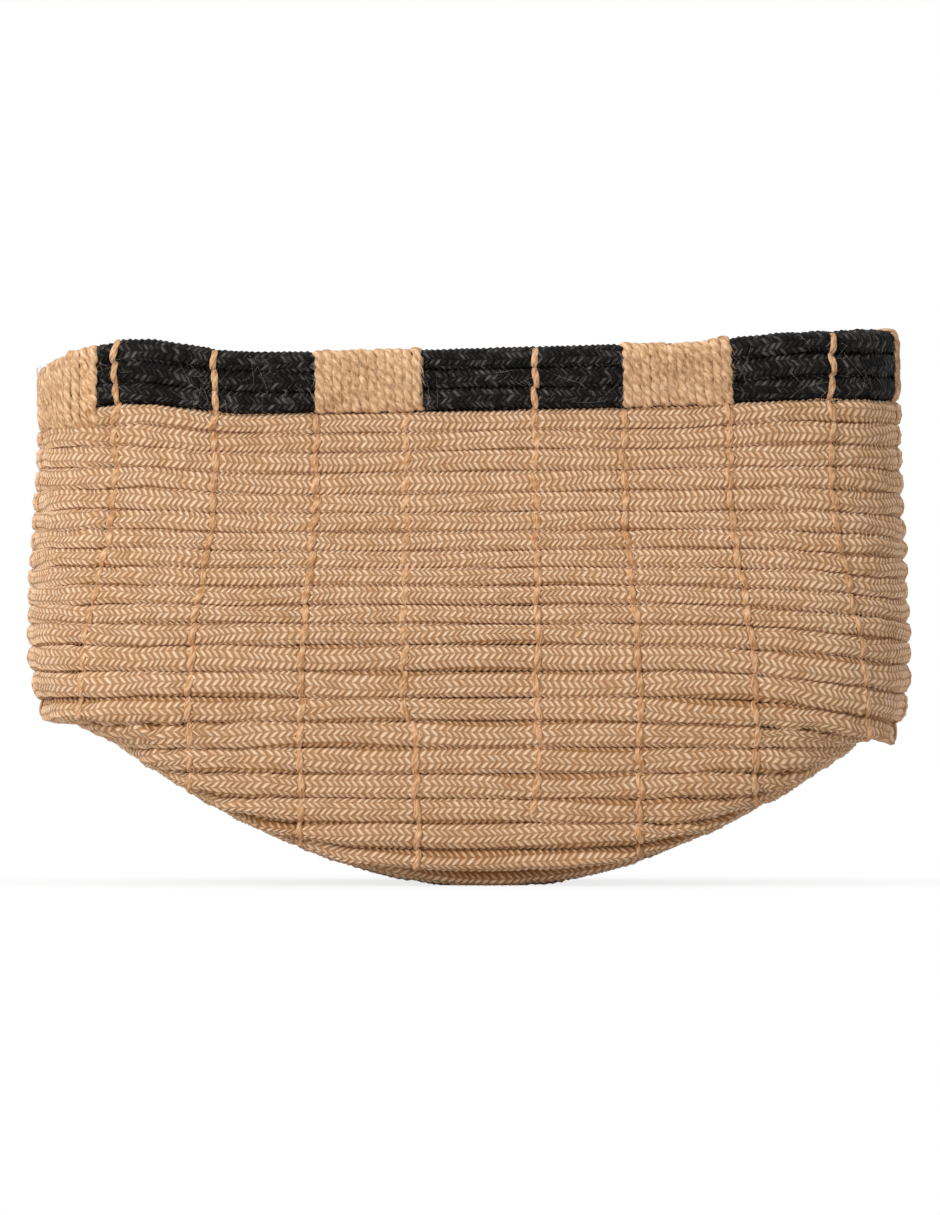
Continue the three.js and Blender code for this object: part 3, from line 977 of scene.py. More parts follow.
@dataclass(frozen=True)
class StitchLine:
    """A line down one face of the basket. Lines on the front and back spread towards the belly.

    Args:
        axis: direction in which the line keeps its place.
        value: that place, at the rim.
        face: side of the basket, 1 or -1, in the other direction.
        first_row: first row that it holds.
        last_row: last row that it may hold.
        spread: share by which it moves outwards.
        spread_first_row: row where that starts.
        spread_last_row: row where that ends.
    """

    axis: Axis
    value: float
    face: float
    first_row: int
    last_row: int
    spread: float = 0.1
    spread_first_row: int = 3
    spread_last_row: int = 14

    def value_at(self, row: np.ndarray) -> np.ndarray:
        """Place of the line at a row.

        Args:
            row: row numbers.

        Returns:
            Distances along or across the basket.
        """
        if self.axis is Axis.ACROSS:
            return self.value + 0 * row
        share = smoothstep(row, self.spread_first_row, self.spread_last_row)
        return self.value * (1 + self.spread * share)


@dataclass(frozen=True)
class RimPlaces:
    """Places round the rim, as distances to the right from the middle of the front.

    Args:
        form: the form of the basket.
        wraps: count of wraps.
        wrap_place: middle of the first wrap.
        wrap_width: width of a wrap.
        wrap_edge: width in which the twine's pressure on the rope fades.
        corner_wrap_shift: how far the wrap at the left front corner lies off its even place.
        from_wrap: distance of a line of stitches from the even place of a wrap.
        samples: entries of the table of the middle rim row.
    """

    form: BasketForm
    wraps: int = 8
    wrap_place: float = -45
    wrap_width: float = 51.5
    wrap_edge: float = 2
    corner_wrap_shift: float = -8
    from_wrap: float = 24
    samples: int = 3000

    @cached_property
    def table(self) -> tuple[np.ndarray, np.ndarray]:
        """Turns of the middle rim row and the distance along it.

        Returns:
            The turns and the distances.
        """
        turn = np.linspace(-2, -1, self.samples)
        steps = np.linalg.norm(np.diff(self.form.path(turn), axis=0), axis=1)
        return turn, np.concatenate([[0], np.cumsum(steps)])

    @property
    def whole(self) -> float:
        """Length of the middle rim row."""
        return float(self.table[1][-1])

    @property
    def front(self) -> float:
        """Distance along the middle rim row to the middle of the front."""
        return float(np.interp(-1.5, *self.table))

    def turn_at(self, place: np.ndarray) -> np.ndarray:
        """Turn of the middle rim row at a place."""
        turn, length = self.table
        return np.interp(np.mod(self.front + place, self.whole), length, turn)

    def even_places(self) -> np.ndarray:
        """Middles of the wraps, evenly spaced."""
        return self.wrap_place + np.arange(self.wraps) * self.whole / self.wraps

    def wrap_places(self) -> np.ndarray:
        """Middles of the wraps, of which the last, at the left front corner, is off its place."""
        is_corner = np.arange(self.wraps) == self.wraps - 1
        return self.even_places() + self.corner_wrap_shift * is_corner

    def wrapped(self, turn: np.ndarray) -> np.ndarray:
        """Where the twine of a wrap lies on a rope: the corner wrap holds row 0 as well.

        Args:
            turn: turns of the rope.

        Returns:
            1 under the twine, 0 beside it.
        """
        place = np.interp(np.mod(turn, 1) - 2, *self.table) - self.front
        away = np.mod(place[:, None] - self.wrap_places() + self.whole / 2, self.whole)
        from_edge = self.wrap_width / 2 - np.abs(away - self.whole / 2)
        held = np.where(np.arange(self.wraps) == self.wraps - 1, 1, 0)
        press = smoothstep(from_edge, 0, self.wrap_edge) * (turn[:, None] < held)
        return np.max(press, axis=1)

    def line(self, place: float, wrap: float) -> StitchLine:
        """Line of stitches that starts at a place on the rim, or below the twine of a wrap.

        Args:
            place: where it starts.
            wrap: middle of the wrap beside it.

        Returns:
            The line.
        """
        form = self.form
        turn = self.turn_at(np.array([place]))
        x, y, _ = form.crest(turn - 1)[0]
        first = -form.rim_rows if abs(place - wrap) > self.wrap_width / 2 else 0
        if abs(y) < form.rim_half_depth - form.rope_thickness:
            return StitchLine(Axis.ACROSS, y, math.copysign(1, x), first, form.ear_row)
        return StitchLine(Axis.ALONG, x, math.copysign(1, y), first, form.wall_rows - 1)

    def lines(self) -> list[StitchLine]:
        """Lines near both ends of each wrap, and half-way to the next.

        Returns:
            The lines.
        """
        offsets = (-self.from_wrap, self.from_wrap, self.whole / self.wraps / 2)
        return [
            self.line(place + offset, wrap)
            for place, wrap in zip(self.even_places(), self.wrap_places())
            for offset in offsets
        ]


# Ropes


@dataclass(frozen=True)
class BraidedRope:
    """A length of round braid: twelve columns of strand legs that zigzag round it.

    Sizes are millimetres. The two columns that face outwards meet in arrowheads that point along
    the rope.

    Args:
        places: places on the rim.
        lines: lines of stitches, which pull the rope in.
        columns: columns of legs.
        sides: sides of the mesh.
        rings_per_leg: rings of vertices in each leg.
        upper_leg_pitch: distance between two legs in the upper rows.
        lower_leg_pitch: the same in the lower rows.
        lower_turns: turns between which the upper lay passes into the lower.
        slant: distance along the rope from one end of a leg to the other.
        end_legs: legs at each end over which the zigzag fades, so that the ends are square.
        fullness: power of the section's superellipse: 1 is an ellipse, less is fuller.
        crown: height of the middle of a leg over the smooth section.
        tuck: depth at the tips of a leg.
        tip_fade: how much lower the crown is at the tips.
        uneven: difference in height between legs.
        pinch: how far a stitch or a wrap presses the rope in.
        pinch_share: the same towards the next rows, as a share of the reach.
        pinch_width: width of that under a stitch.
        upper_widening: radians by which the front columns are wider in the upper rows.
        lower_widening: the same in the lower rows.
        slant_waves: unevenness of the slant.
        squeeze_waves: unevenness of the place of the legs, in legs.
        roll_waves: how the rope rolls to and fro, in radians.
        floor_height: least height over the floor.
        floor_relief: part of the relief that is left where the floor presses the rope flat.
    """

    places: RimPlaces
    lines: list[StitchLine]
    columns: int = 12
    sides: int = 24
    rings_per_leg: int = 3
    upper_leg_pitch: float = 2.68
    lower_leg_pitch: float = 3.12
    lower_turns: tuple[float, float] = (8, 16)
    slant: float = 2.5
    end_legs: float = 4
    fullness: float = 0.7
    crown: float = 0.4
    tuck: float = 0.3
    tip_fade: float = 0.5
    uneven: float = 0.22
    pinch: float = 0.7
    pinch_share: float = 0.1
    pinch_width: float = 2.6
    upper_widening: float = 0.22
    lower_widening: float = -0.08
    slant_waves: tuple[Wave, ...] = (Wave(1 / 9.1, 0.1), Wave(1 / 3.7, 0.07))
    squeeze_waves: tuple[Wave, ...] = (Wave(0.83, 0.16), Wave(0.31, 0.14, 2))
    roll_waves: tuple[Wave, ...] = (Wave(1 / 13.7, 0.27), Wave(1 / 5.9, 0.216, 1))
    floor_height: float = 0.02
    floor_relief: float = 0.05

    @property
    def column(self) -> np.ndarray:
        """Column of each side of the mesh, 0 at the front."""
        return np.arange(self.sides) * self.columns / self.sides - self.columns / 2

    def leg_count(self, frames: RopeFrames) -> np.ndarray:
        """Count of strand legs along the rope: the length divided by the pitch, summed.

        Args:
            frames: the rope's cross-sections.

        Returns:
            Count at each entry of the table.
        """
        share = smoothstep(frames.turn, *self.lower_turns)
        pitch = lerp(self.upper_leg_pitch, self.lower_leg_pitch, share)
        steps = np.diff(frames.length) / ((pitch[1:] + pitch[:-1]) / 2)
        return np.concatenate([[0], np.cumsum(steps)])

    def pulled_in(self, frames: RopeFrames) -> np.ndarray:
        """How far stitches and wraps press the rope: a bell curve at a stitch, even under twine.

        Args:
            frames: the rope's cross-sections.

        Returns:
            Share from 0 to 1.
        """
        centre, loop = frames.centre, np.floor(frames.turn)
        pull = self.places.wrapped(frames.turn)
        for line in self.lines:
            other = centre[:, 1 - line.axis.value]
            away = (centre[:, line.axis.value] - line.value_at(loop)) / self.pinch_width
            pull = np.maximum(pull, np.exp(-(away**2)) * (other * line.face > 0))
        return pull

    def zigzag(self, leg: np.ndarray, pitch: float) -> np.ndarray:
        """Count of legs at each ring and side, so that edges of the mesh follow the strand legs.

        It is the ring's own count, plus the slant of the leg there, which is a triangle wave of the
        column, plus a small squeeze of the whole ring.

        Args:
            leg: count of legs at each ring.
            pitch: mean distance between two legs.

        Returns:
            Counts as rings x sides.
        """
        free = smoothstep(np.minimum(leg, leg[-1] - leg), 0, self.end_legs)
        slant = self.slant / pitch * free * (1 + ripple(self.slant_waves, leg))
        squeeze = free * ripple(self.squeeze_waves, leg)
        shift = slant[:, None] * (triangle_wave(self.column) - 0.5) + squeeze[:, None]
        return np.clip(leg[:, None] + shift, 0, leg[-1])

    def angles(self, leg: np.ndarray, turn: np.ndarray) -> np.ndarray:
        """Angle of each vertex round the section, 0 outwards.

        The columns are even but for a sine, which makes those in front wider or narrower, and the
        whole section rolls to and fro.

        Args:
            leg: count of legs at each ring.
            turn: turn at each ring.

        Returns:
            Angles as rings x sides x 1.
        """
        even = self.column[None, :] * FULL_TURN / self.columns
        lower = smoothstep(turn, *self.lower_turns)[:, None]
        widening = lerp(self.upper_widening, self.lower_widening, lower)
        angle = even + widening * np.sin(even) + ripple(self.roll_waves, leg)[:, None]
        return angle[..., None]

    def crowns(self, ring: np.ndarray) -> np.ndarray:
        """Height across a leg: a cosine, highest at its middle."""
        return self.crown * np.cos(FULL_TURN * ring / self.rings_per_leg)[:, None]

    def relief(self, ring: np.ndarray) -> np.ndarray:
        """Height of the strands over the smooth section: crowns, uneven, tucked in at the tips.

        Args:
            ring: ring numbers.

        Returns:
            Heights as rings x sides.
        """
        at_tip = np.cos(np.pi * self.column)[None, :] ** 2
        leg = np.round(ring / self.rings_per_leg)[:, None]
        chance = hashed(leg, np.floor(self.column)[None, :]) - 0.5
        height = self.crowns(ring) + self.uneven * chance
        return height * (1 - self.tip_fade * at_tip) - self.tuck * at_tip

    def points(
        self, frames: RopeFrames, count: np.ndarray, half: float, ring: np.ndarray, leg: np.ndarray
    ) -> np.ndarray:
        """Vertices of the rope.

        The section is a superellipse in polar form, as thick as the rope and as high as its reach to
        the rows above and below. The relief stands on it, and nothing goes through the floor.

        Args:
            frames: the rope's cross-sections.
            count: count of legs at each of them.
            half: half of the rope's thickness.
            ring: ring numbers.
            leg: count of legs at each ring.

        Returns:
            Points as rings x sides x 3.
        """
        pitch = float(np.mean(np.diff(frames.length) / np.diff(count)))
        legs = self.zigzag(leg, pitch)
        angle = self.angles(leg, np.interp(leg, count, frames.turn))
        centre = interpolate(legs, count, frames.centre)
        outward = interpolate(legs, count, frames.outward)
        up = interpolate(legs, count, frames.up)
        down = interpolate(legs, count, frames.down)
        pulled = np.interp(legs, count, self.pulled_in(frames))[..., None]
        cosine, sine = np.cos(angle), np.sin(angle)
        power = 2 / self.fullness
        size = (np.abs(cosine) ** power + np.abs(sine) ** power) ** (-1 / power)
        side = np.where(sine > 0, up, down) * np.abs(sine) * (1 - self.pinch_share * pulled)
        skin = (outward * cosine * (half - self.pinch * pulled) + side) * size
        proud = unit(outward * cosine + unit(up - down) * sine)
        points = centre + skin + proud * self.relief(ring)[..., None]
        floor = self.floor_height + self.floor_relief * (1 + self.crowns(ring))
        points[..., 2] = np.maximum(points[..., 2], floor)
        return points

    def build(self, name: str, run: RopeRun, cuts: tuple[float, ...]) -> list[bpy.types.Object]:
        """Builds a run of rope as one or more closed tubes.

        Args:
            name: name of the rope.
            run: the run to build.
            cuts: turns at which it is divided into pieces.

        Returns:
            The pieces.
        """
        frames = run.frames(self.places.form)
        count = self.leg_count(frames)
        rings = int(count[-1] * self.rings_per_leg)
        ring = np.arange(rings + 1)
        leg = ring * count[-1] / rings
        points = self.points(frames, count, run.thickness / 2, ring, leg)
        around = np.append(self.column, self.columns / 2)
        borders = np.searchsorted(np.interp(leg, count, frames.turn), cuts)
        pieces = []
        for number, (start, end) in enumerate(zip([0, *borders], [*borders, rings]), 1):
            label = f"{name}_{number}" if cuts else name
            along = ring[start : end + 1] / self.rings_per_leg
            pieces.append(tube(label, points[start : end + 1], along, around))
        return pieces


@dataclass(frozen=True)
class RimRope:
    """The black braid: three loops round the rim.

    Args:
        braid: how the rope is braided.
        finish: its finish.
        gap: gap between its rows.
        gap_below: gap to the wall rope.
    """

    braid: BraidedRope
    finish: BraidFinish = BLACK_BRAID
    gap: float = -1.0
    gap_below: float = 0.3

    def build(self) -> None:
        """Builds and dresses the rim rope."""
        form = self.braid.places.form
        run = RopeRun(
            -form.rim_rows, 0, form.rim_rope_thickness, gap=self.gap, gap_below=self.gap_below
        )
        material = self.finish.material()
        for piece in self.braid.build("rim_braid", run, ()):
            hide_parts("rim_rope")
            finish_piece(piece, material)


@dataclass(frozen=True)
class WallRope:
    """The natural braid of the walls, in seven pieces that meet at the middle of the back.

    Args:
        braid: how the rope is braided.
        material: its finish.
        gap_above: gap to the rim rope.
        gap_below: gap to the base rope.
        cuts: turns where two pieces meet.
    """

    braid: BraidedRope
    material: bpy.types.Material
    gap_above: float = 0.3
    gap_below: float = 0
    cuts: tuple[float, ...] = (3, 6, 9, 12, 15, 18)

    def build(self) -> None:
        """Builds and dresses the wall rope."""
        form = self.braid.places.form
        run = RopeRun(
            0, form.wall_rows, form.rope_thickness, gap_above=self.gap_above, gap_below=self.gap_below
        )
        for piece in self.braid.build("wall_braid", run, self.cuts):
            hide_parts("wall_rope")
            finish_piece(piece, self.material)


@dataclass(frozen=True)
class BaseRope:
    """The natural braid of the base, wound to the middle of the underside, in two pieces.

    Args:
        braid: how the rope is braided.
        material: its finish.
        gap_above: gap to the wall rope.
        centre_end: share of a loop by which the rope goes on past its last whole loop.
        cuts: turn where the two pieces meet.
    """

    braid: BraidedRope
    material: bpy.types.Material
    gap_above: float = 0
    centre_end: float = 0.25
    cuts: tuple[float, ...] = (24,)

    def build(self) -> None:
        """Builds and dresses the base rope."""
        form = self.braid.places.form
        last = form.last_row + self.centre_end
        run = RopeRun(form.wall_rows, last, form.rope_thickness, gap_above=self.gap_above)
        for piece in self.braid.build("base_braid", run, self.cuts):
            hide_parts("base_rope")
            finish_piece(piece, self.material)


# Twine, yarn and loose fibres


@dataclass(frozen=True)
class TwoPly:
    """Section of a twine or yarn of two twisted plies, flattened, in millimetres.

    Args:
        width: its width.
        thickness: its thickness.
        twist_length: length of one full twist, below zero for a left-hand twist.
        ply_offset: distance of a ply from the middle, as a share of half of the width.
        sides: sides of the mesh.
    """

    width: float
    thickness: float
    twist_length: float
    ply_offset: float = 0.2
    sides: int = 10

    def rings(
        self, centre: np.ndarray, proud: np.ndarray, length: np.ndarray, wide: np.ndarray
    ) -> tuple[np.ndarray, np.ndarray]:
        """Rings of points along a path.

        The section is the outline of two circles that overlap, turned with the twist:
        r = a |cos| + sqrt(b^2 - a^2 sin^2), with a the offset of a ply and b its radius. It is then
        flattened towards the surface that it lies on.

        Args:
            centre: path.
            proud: direction away from the surface.
            length: distance along the path.
            wide: width at each point of the path, as a share of the usual width.

        Returns:
            Rings of points, and the coordinate round the section, in plies.
        """
        tangent = unit(np.gradient(centre, axis=0))
        proud = unit(proud - tangent * np.sum(proud * tangent, axis=-1, keepdims=True))
        beside = np.cross(tangent, proud)
        around = np.arange(self.sides) * FULL_TURN / self.sides
        offset, radius = self.ply_offset, 1 - self.ply_offset
        ring = offset * np.abs(np.cos(around)) + np.sqrt(radius**2 - (offset * np.sin(around)) ** 2)
        angle = around[None, :] - FULL_TURN * (length / self.twist_length)[:, None]
        half_width = wide.reshape(-1, 1) * self.width / 2
        across = (np.cos(angle) * ring * half_width)[..., None] * beside[:, None, :]
        out = (np.sin(angle) * ring * self.thickness / 2)[..., None] * proud[:, None, :]
        plies = np.arange(self.sides + 1) * 2 / self.sides + 0.5
        return centre[:, None, :] + across + out, plies


def evenly(points: np.ndarray, step: float, *others: np.ndarray) -> tuple[np.ndarray, ...]:
    """Takes a dense path at even distances.

    Args:
        points: dense path.
        step: distance wanted.
        *others: arrays of the same length, taken at the same places.

    Returns:
        Distance along the path, the path, and the other arrays.
    """
    steps = np.linalg.norm(np.diff(points, axis=0), axis=1)
    length = np.concatenate([[0], np.cumsum(steps)])
    even = np.linspace(0, length[-1], max(int(length[-1] / step), 2))
    return (even, *(interpolate(even, length, array) for array in (points, *others)))


@dataclass(frozen=True)
class TwineWraps:
    """Twine wound round the three black rows, twelve turns in each of eight places.

    The wrap at the left front corner holds the first natural row as well.

    Args:
        places: places on the rim.
        twine: section of the twine.
        finish: its finish.
        turns: turns of twine in a wrap.
        corner_rows: rows in the corner wrap.
        step: distance between two rings of the mesh.
        above_rows: distance of the twine's middle above the top of the rows.
        off_rows: distance of the twine's middle off the face of the rows.
        squareness: power of a turn's superellipse: 2 is an ellipse, more is squarer.
        scallop: how far the twine sinks between two rows.
        scallop_sharpness: power that keeps that to the faces.
        loose_waves: unevenness of the place of the twine along the rim.
        lift_waves: unevenness of its height.
        width_waves: unevenness of its width.
        chord: turns before and after a place over which the rim's direction is taken.
        samples: points of the dense path in each turn.
    """

    places: RimPlaces
    twine: TwoPly = TwoPly(5.4, 2.8, -9.6, sides=12)
    finish: TwistFinish = NATURAL_TWINE
    turns: int = 12
    corner_rows: int = 4
    step: float = 1.1
    above_rows: float = -0.2
    off_rows: float = -0.2
    squareness: float = 4.2
    scallop: float = 0.175
    scallop_sharpness: float = 8
    loose_waves: tuple[Wave, ...] = (Wave(71, 0.35, follow=1), Wave(173, 0.25, 1))
    lift_waves: tuple[Wave, ...] = (Wave(37, 0.3, follow=1), Wave(97, 0.25, follow=2))
    width_waves: tuple[Wave, ...] = (Wave(1.1, 0.07), Wave(0.67, 0.07, follow=1))
    chord: float = 0.002
    samples: int = 300

    def path(self, place: float, rows: int) -> tuple[np.ndarray, np.ndarray]:
        """Path of one wrap.

        Each turn is a superellipse round the rows in the plane square to the rim, while the
        place moves along the rim by the width of the twine. It starts inside the basket.

        Args:
            place: middle of the wrap on the rim.
            rows: count of rows that it holds, from the top down.

        Returns:
            Dense path, and the direction away from the rows.
        """
        form = self.places.form
        share = np.linspace(0, 1, self.turns * self.samples)
        width = self.places.wrap_width - self.twine.width / 2
        along = width * (share - 0.5) + ripple(self.loose_waves, share, place)
        turn = self.places.turn_at(place + along)
        last = turn + rows - 2
        top, bottom = form.soft_path(turn - 1), form.soft_path(last)
        up = unit(top - bottom)
        outward = unit(np.cross(form.direction(turn, self.chord), up))
        reach = np.linalg.norm(top - bottom, axis=1) * rows / (rows - 1) / 2
        half_height = reach + self.above_rows + ripple(self.lift_waves, share, place)
        half_depth = form.radius(last) + self.off_rows
        angle = np.pi + FULL_TURN * self.turns * share
        across, above = np.cos(angle), np.sin(angle)
        power = 2 / self.squareness
        side = np.sign(across) * np.abs(across) ** power
        height = -np.sign(above) * np.abs(above) ** power
        between = 1 - np.cos(np.pi * height * rows)
        sunk = self.scallop * between * np.abs(side) ** self.scallop_sharpness
        out = outward * (side * (half_depth - sunk))[:, None]
        points = (top + bottom) / 2 + out + up * (height * half_height)[:, None]
        proud = outward * side[:, None] ** 3 + up * height[:, None] ** 3
        return points, unit(proud)

    def build(self) -> None:
        """Builds and dresses the wraps."""
        material = self.finish.material()
        for number, place in enumerate(self.places.wrap_places(), 1):
            corner = number == self.places.wraps
            rows = self.corner_rows if corner else self.places.form.rim_rows
            points, out = self.path(place, rows)
            length, centre, proud = evenly(points, self.step, out)
            wide = 1 + ripple(self.width_waves, length, number)
            rings, plies = self.twine.rings(centre, proud, length, wide)
            piece = tube(f"twine_wrap_{number}", rings, length, plies)
            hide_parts(f"wrap_{number}")
            finish_piece(piece, material)


@dataclass(frozen=True)
class StitchedLines:
    """Jute yarn sewn down the outside, one stitch over each row.

    Args:
        places: places on the rim.
        yarn: section of the yarn.
        finish: its finish.
        rim_lift: distance of the yarn's middle over the black rope.
        wall_lift: the same over the natural rope.
        groove_share: how far the yarn follows a half circle down into the grooves.
        rim_swelling: share by which the yarn is wider on the crest of a black row.
        wall_swelling: the same on a natural row.
        rim_lean: greatest slant of a stitch over a black row.
        wall_lean: the same over a natural row.
        most_lean: slant of a stitch with the least chance, as a share of that.
        lean_spread: how much less it is with the greatest chance.
        lean_sharpness: power that keeps the jump between two stitches to the groove.
        drift_waves: unevenness of the line.
        top_end: rows by which the yarn starts above its first crest.
        front_end: rows by which it goes on past its last crest, on the front and back.
        side_end: the same on the sides.
        dive_share: height of its last end, as a share.
        dive_rows: rows in which it goes down to that.
        longest: longest stitch.
        step: distance between two rings of the mesh.
        samples: points of the dense path in each row.
        crossing_samples: places tried in each loop to find where a line crosses it.
    """

    places: RimPlaces
    yarn: TwoPly = TwoPly(3.1, 1.5, 15)
    finish: TwistFinish = STITCH_YARN
    rim_lift: float = 0.4
    wall_lift: float = -0.1
    groove_share: float = 0.85
    rim_swelling: float = 0.088
    wall_swelling: float = 0.22
    rim_lean: float = 1.9
    wall_lean: float = 2.0
    most_lean: float = 1.1
    lean_spread: float = 1.6
    lean_sharpness: float = 8
    drift_waves: tuple[Wave, ...] = (Wave(1.9, 0.5, follow=1),)
    top_end: float = 0.45
    front_end: float = 0.3
    side_end: float = 0.12
    dive_share: float = 0.5
    dive_rows: float = 0.3
    longest: float = 18.6
    step: float = 1.1
    samples: int = 40
    crossing_samples: int = 800

    def crossings(self, line: StitchLine) -> np.ndarray:
        """Turns at which a line crosses the rows, from the top down.

        Args:
            line: the line.

        Returns:
            Turns.
        """
        form = self.places.form
        found = []
        last = None
        for loop in range(line.first_row, line.last_row + 1):
            turn = np.linspace(loop, loop + 1, self.crossing_samples)
            points = form.crest(turn)
            away = points[:, line.axis.value] - line.value_at(np.array(loop))
            onto = (away[:-1] * away[1:] <= 0) & (points[1:, 1 - line.axis.value] * line.face > 0)
            index = np.flatnonzero(onto)
            if len(index) == 0 or points[index[0], 2] < form.edge_row_height / 2:
                break
            first = index[0]
            if last is not None and np.linalg.norm(points[first] - last) > self.longest:
                break
            last = points[first]
            share = away[first] / (away[first] - away[first + 1])
            found.append(turn[first] + share * (turn[first + 1] - turn[first]))
        return np.array(found)

    def slant(self, row: np.ndarray, on_rim: np.ndarray, value: float) -> np.ndarray:
        """How far the yarn lies to the side: each stitch slants by chance and jumps back after it.

        Args:
            row: count of rows down the line, whole on the crests.
            on_rim: whether each point is on the black rope.
            value: place of the line.

        Returns:
            Distances along the rope.
        """
        nearest = np.round(row)
        within = 2 * (row - nearest)
        chance = self.most_lean - self.lean_spread * hashed(nearest, value)
        lean = np.where(on_rim, self.rim_lean, self.wall_lean) * chance * math.copysign(1, value)
        return lean * within * (1 - within**self.lean_sharpness)

    def path(self, line: StitchLine) -> tuple[np.ndarray, np.ndarray, np.ndarray]:
        """Path of one line of stitches.

        Between two rows the middle of the ropes is followed in a straight line, and the yarn stands
        off from it as a half circle over each row, cut short in the grooves. Its last end goes into
        the rope.

        Args:
            line: the line.

        Returns:
            Dense path, the direction away from the basket, and the share of the yarn's width.
        """
        form = self.places.form
        turns = self.crossings(line)
        centre = form.soft_path(turns)
        radius = form.radius(turns) + np.where(turns < 0, self.rim_lift, self.wall_lift)
        last = len(turns) - 1
        end = last + (self.side_end if line.axis is Axis.ACROSS else self.front_end)
        row = np.linspace(-self.top_end, end, self.samples * len(turns))
        index = np.arange(len(turns))
        base = interpolate(row, index, centre)
        base = base + np.minimum(row, 0)[:, None] * (centre[1] - centre[0])
        base = base + np.maximum(row - last, 0)[:, None] * (centre[-1] - centre[-2])
        out = unit(interpolate(row, index, form.outward(turns)))
        along = unit(interpolate(row, index, form.direction(turns)))
        within = 2 * (row - np.round(row))
        height = np.interp(row, index, radius) * np.sqrt(1 - self.groove_share * within**2)
        dive = lerp(self.dive_share, 1, smoothstep(row[-1] - row, 0, self.dive_rows))
        on_rim = np.interp(row, index, turns) < 0
        aside = self.slant(row, on_rim, line.value) + ripple(self.drift_waves, row, line.value)
        points = base + out * (height * dive)[:, None] + along * aside[:, None]
        swelling = np.where(on_rim, self.rim_swelling, self.wall_swelling)
        return points, out, 1 + swelling * np.cos(np.pi * within)

    def build(self) -> None:
        """Builds and dresses the lines."""
        material = self.finish.material()
        for number, line in enumerate(self.places.lines(), 1):
            points, out, wide = self.path(line)
            length, centre, proud, wide = evenly(points, self.step, out, wide[:, None])
            rings, plies = self.yarn.rings(centre, proud, length, wide)
            piece = tube(f"stitch_line_{number:02d}", rings, length, plies)
            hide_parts(f"stitch_{number:02d}")
            finish_piece(piece, material)


@dataclass(frozen=True)
class HairKind:
    """A kind of loose fibre, in millimetres.

    Args:
        name: name of the piece.
        length_scale: scale of the gamma distribution of the lengths.
        rise: least and greatest height of the middle of a fibre over its ends.
        stand_off: distance of the ends from the face of the rope.
        thickness: thickness of a fibre, or of a lock of fibres.
    """

    name: str
    length_scale: float
    rise: tuple[float, float]
    stand_off: float
    thickness: float


@dataclass(frozen=True)
class Starts:
    """Where the fibres of a group start, in millimetres.

    Args:
        place: places round the rim.
        height: heights over the middle rim row.
        heading: directions, in radians from the rim's own.
    """

    place: np.ndarray
    height: np.ndarray
    heading: np.ndarray


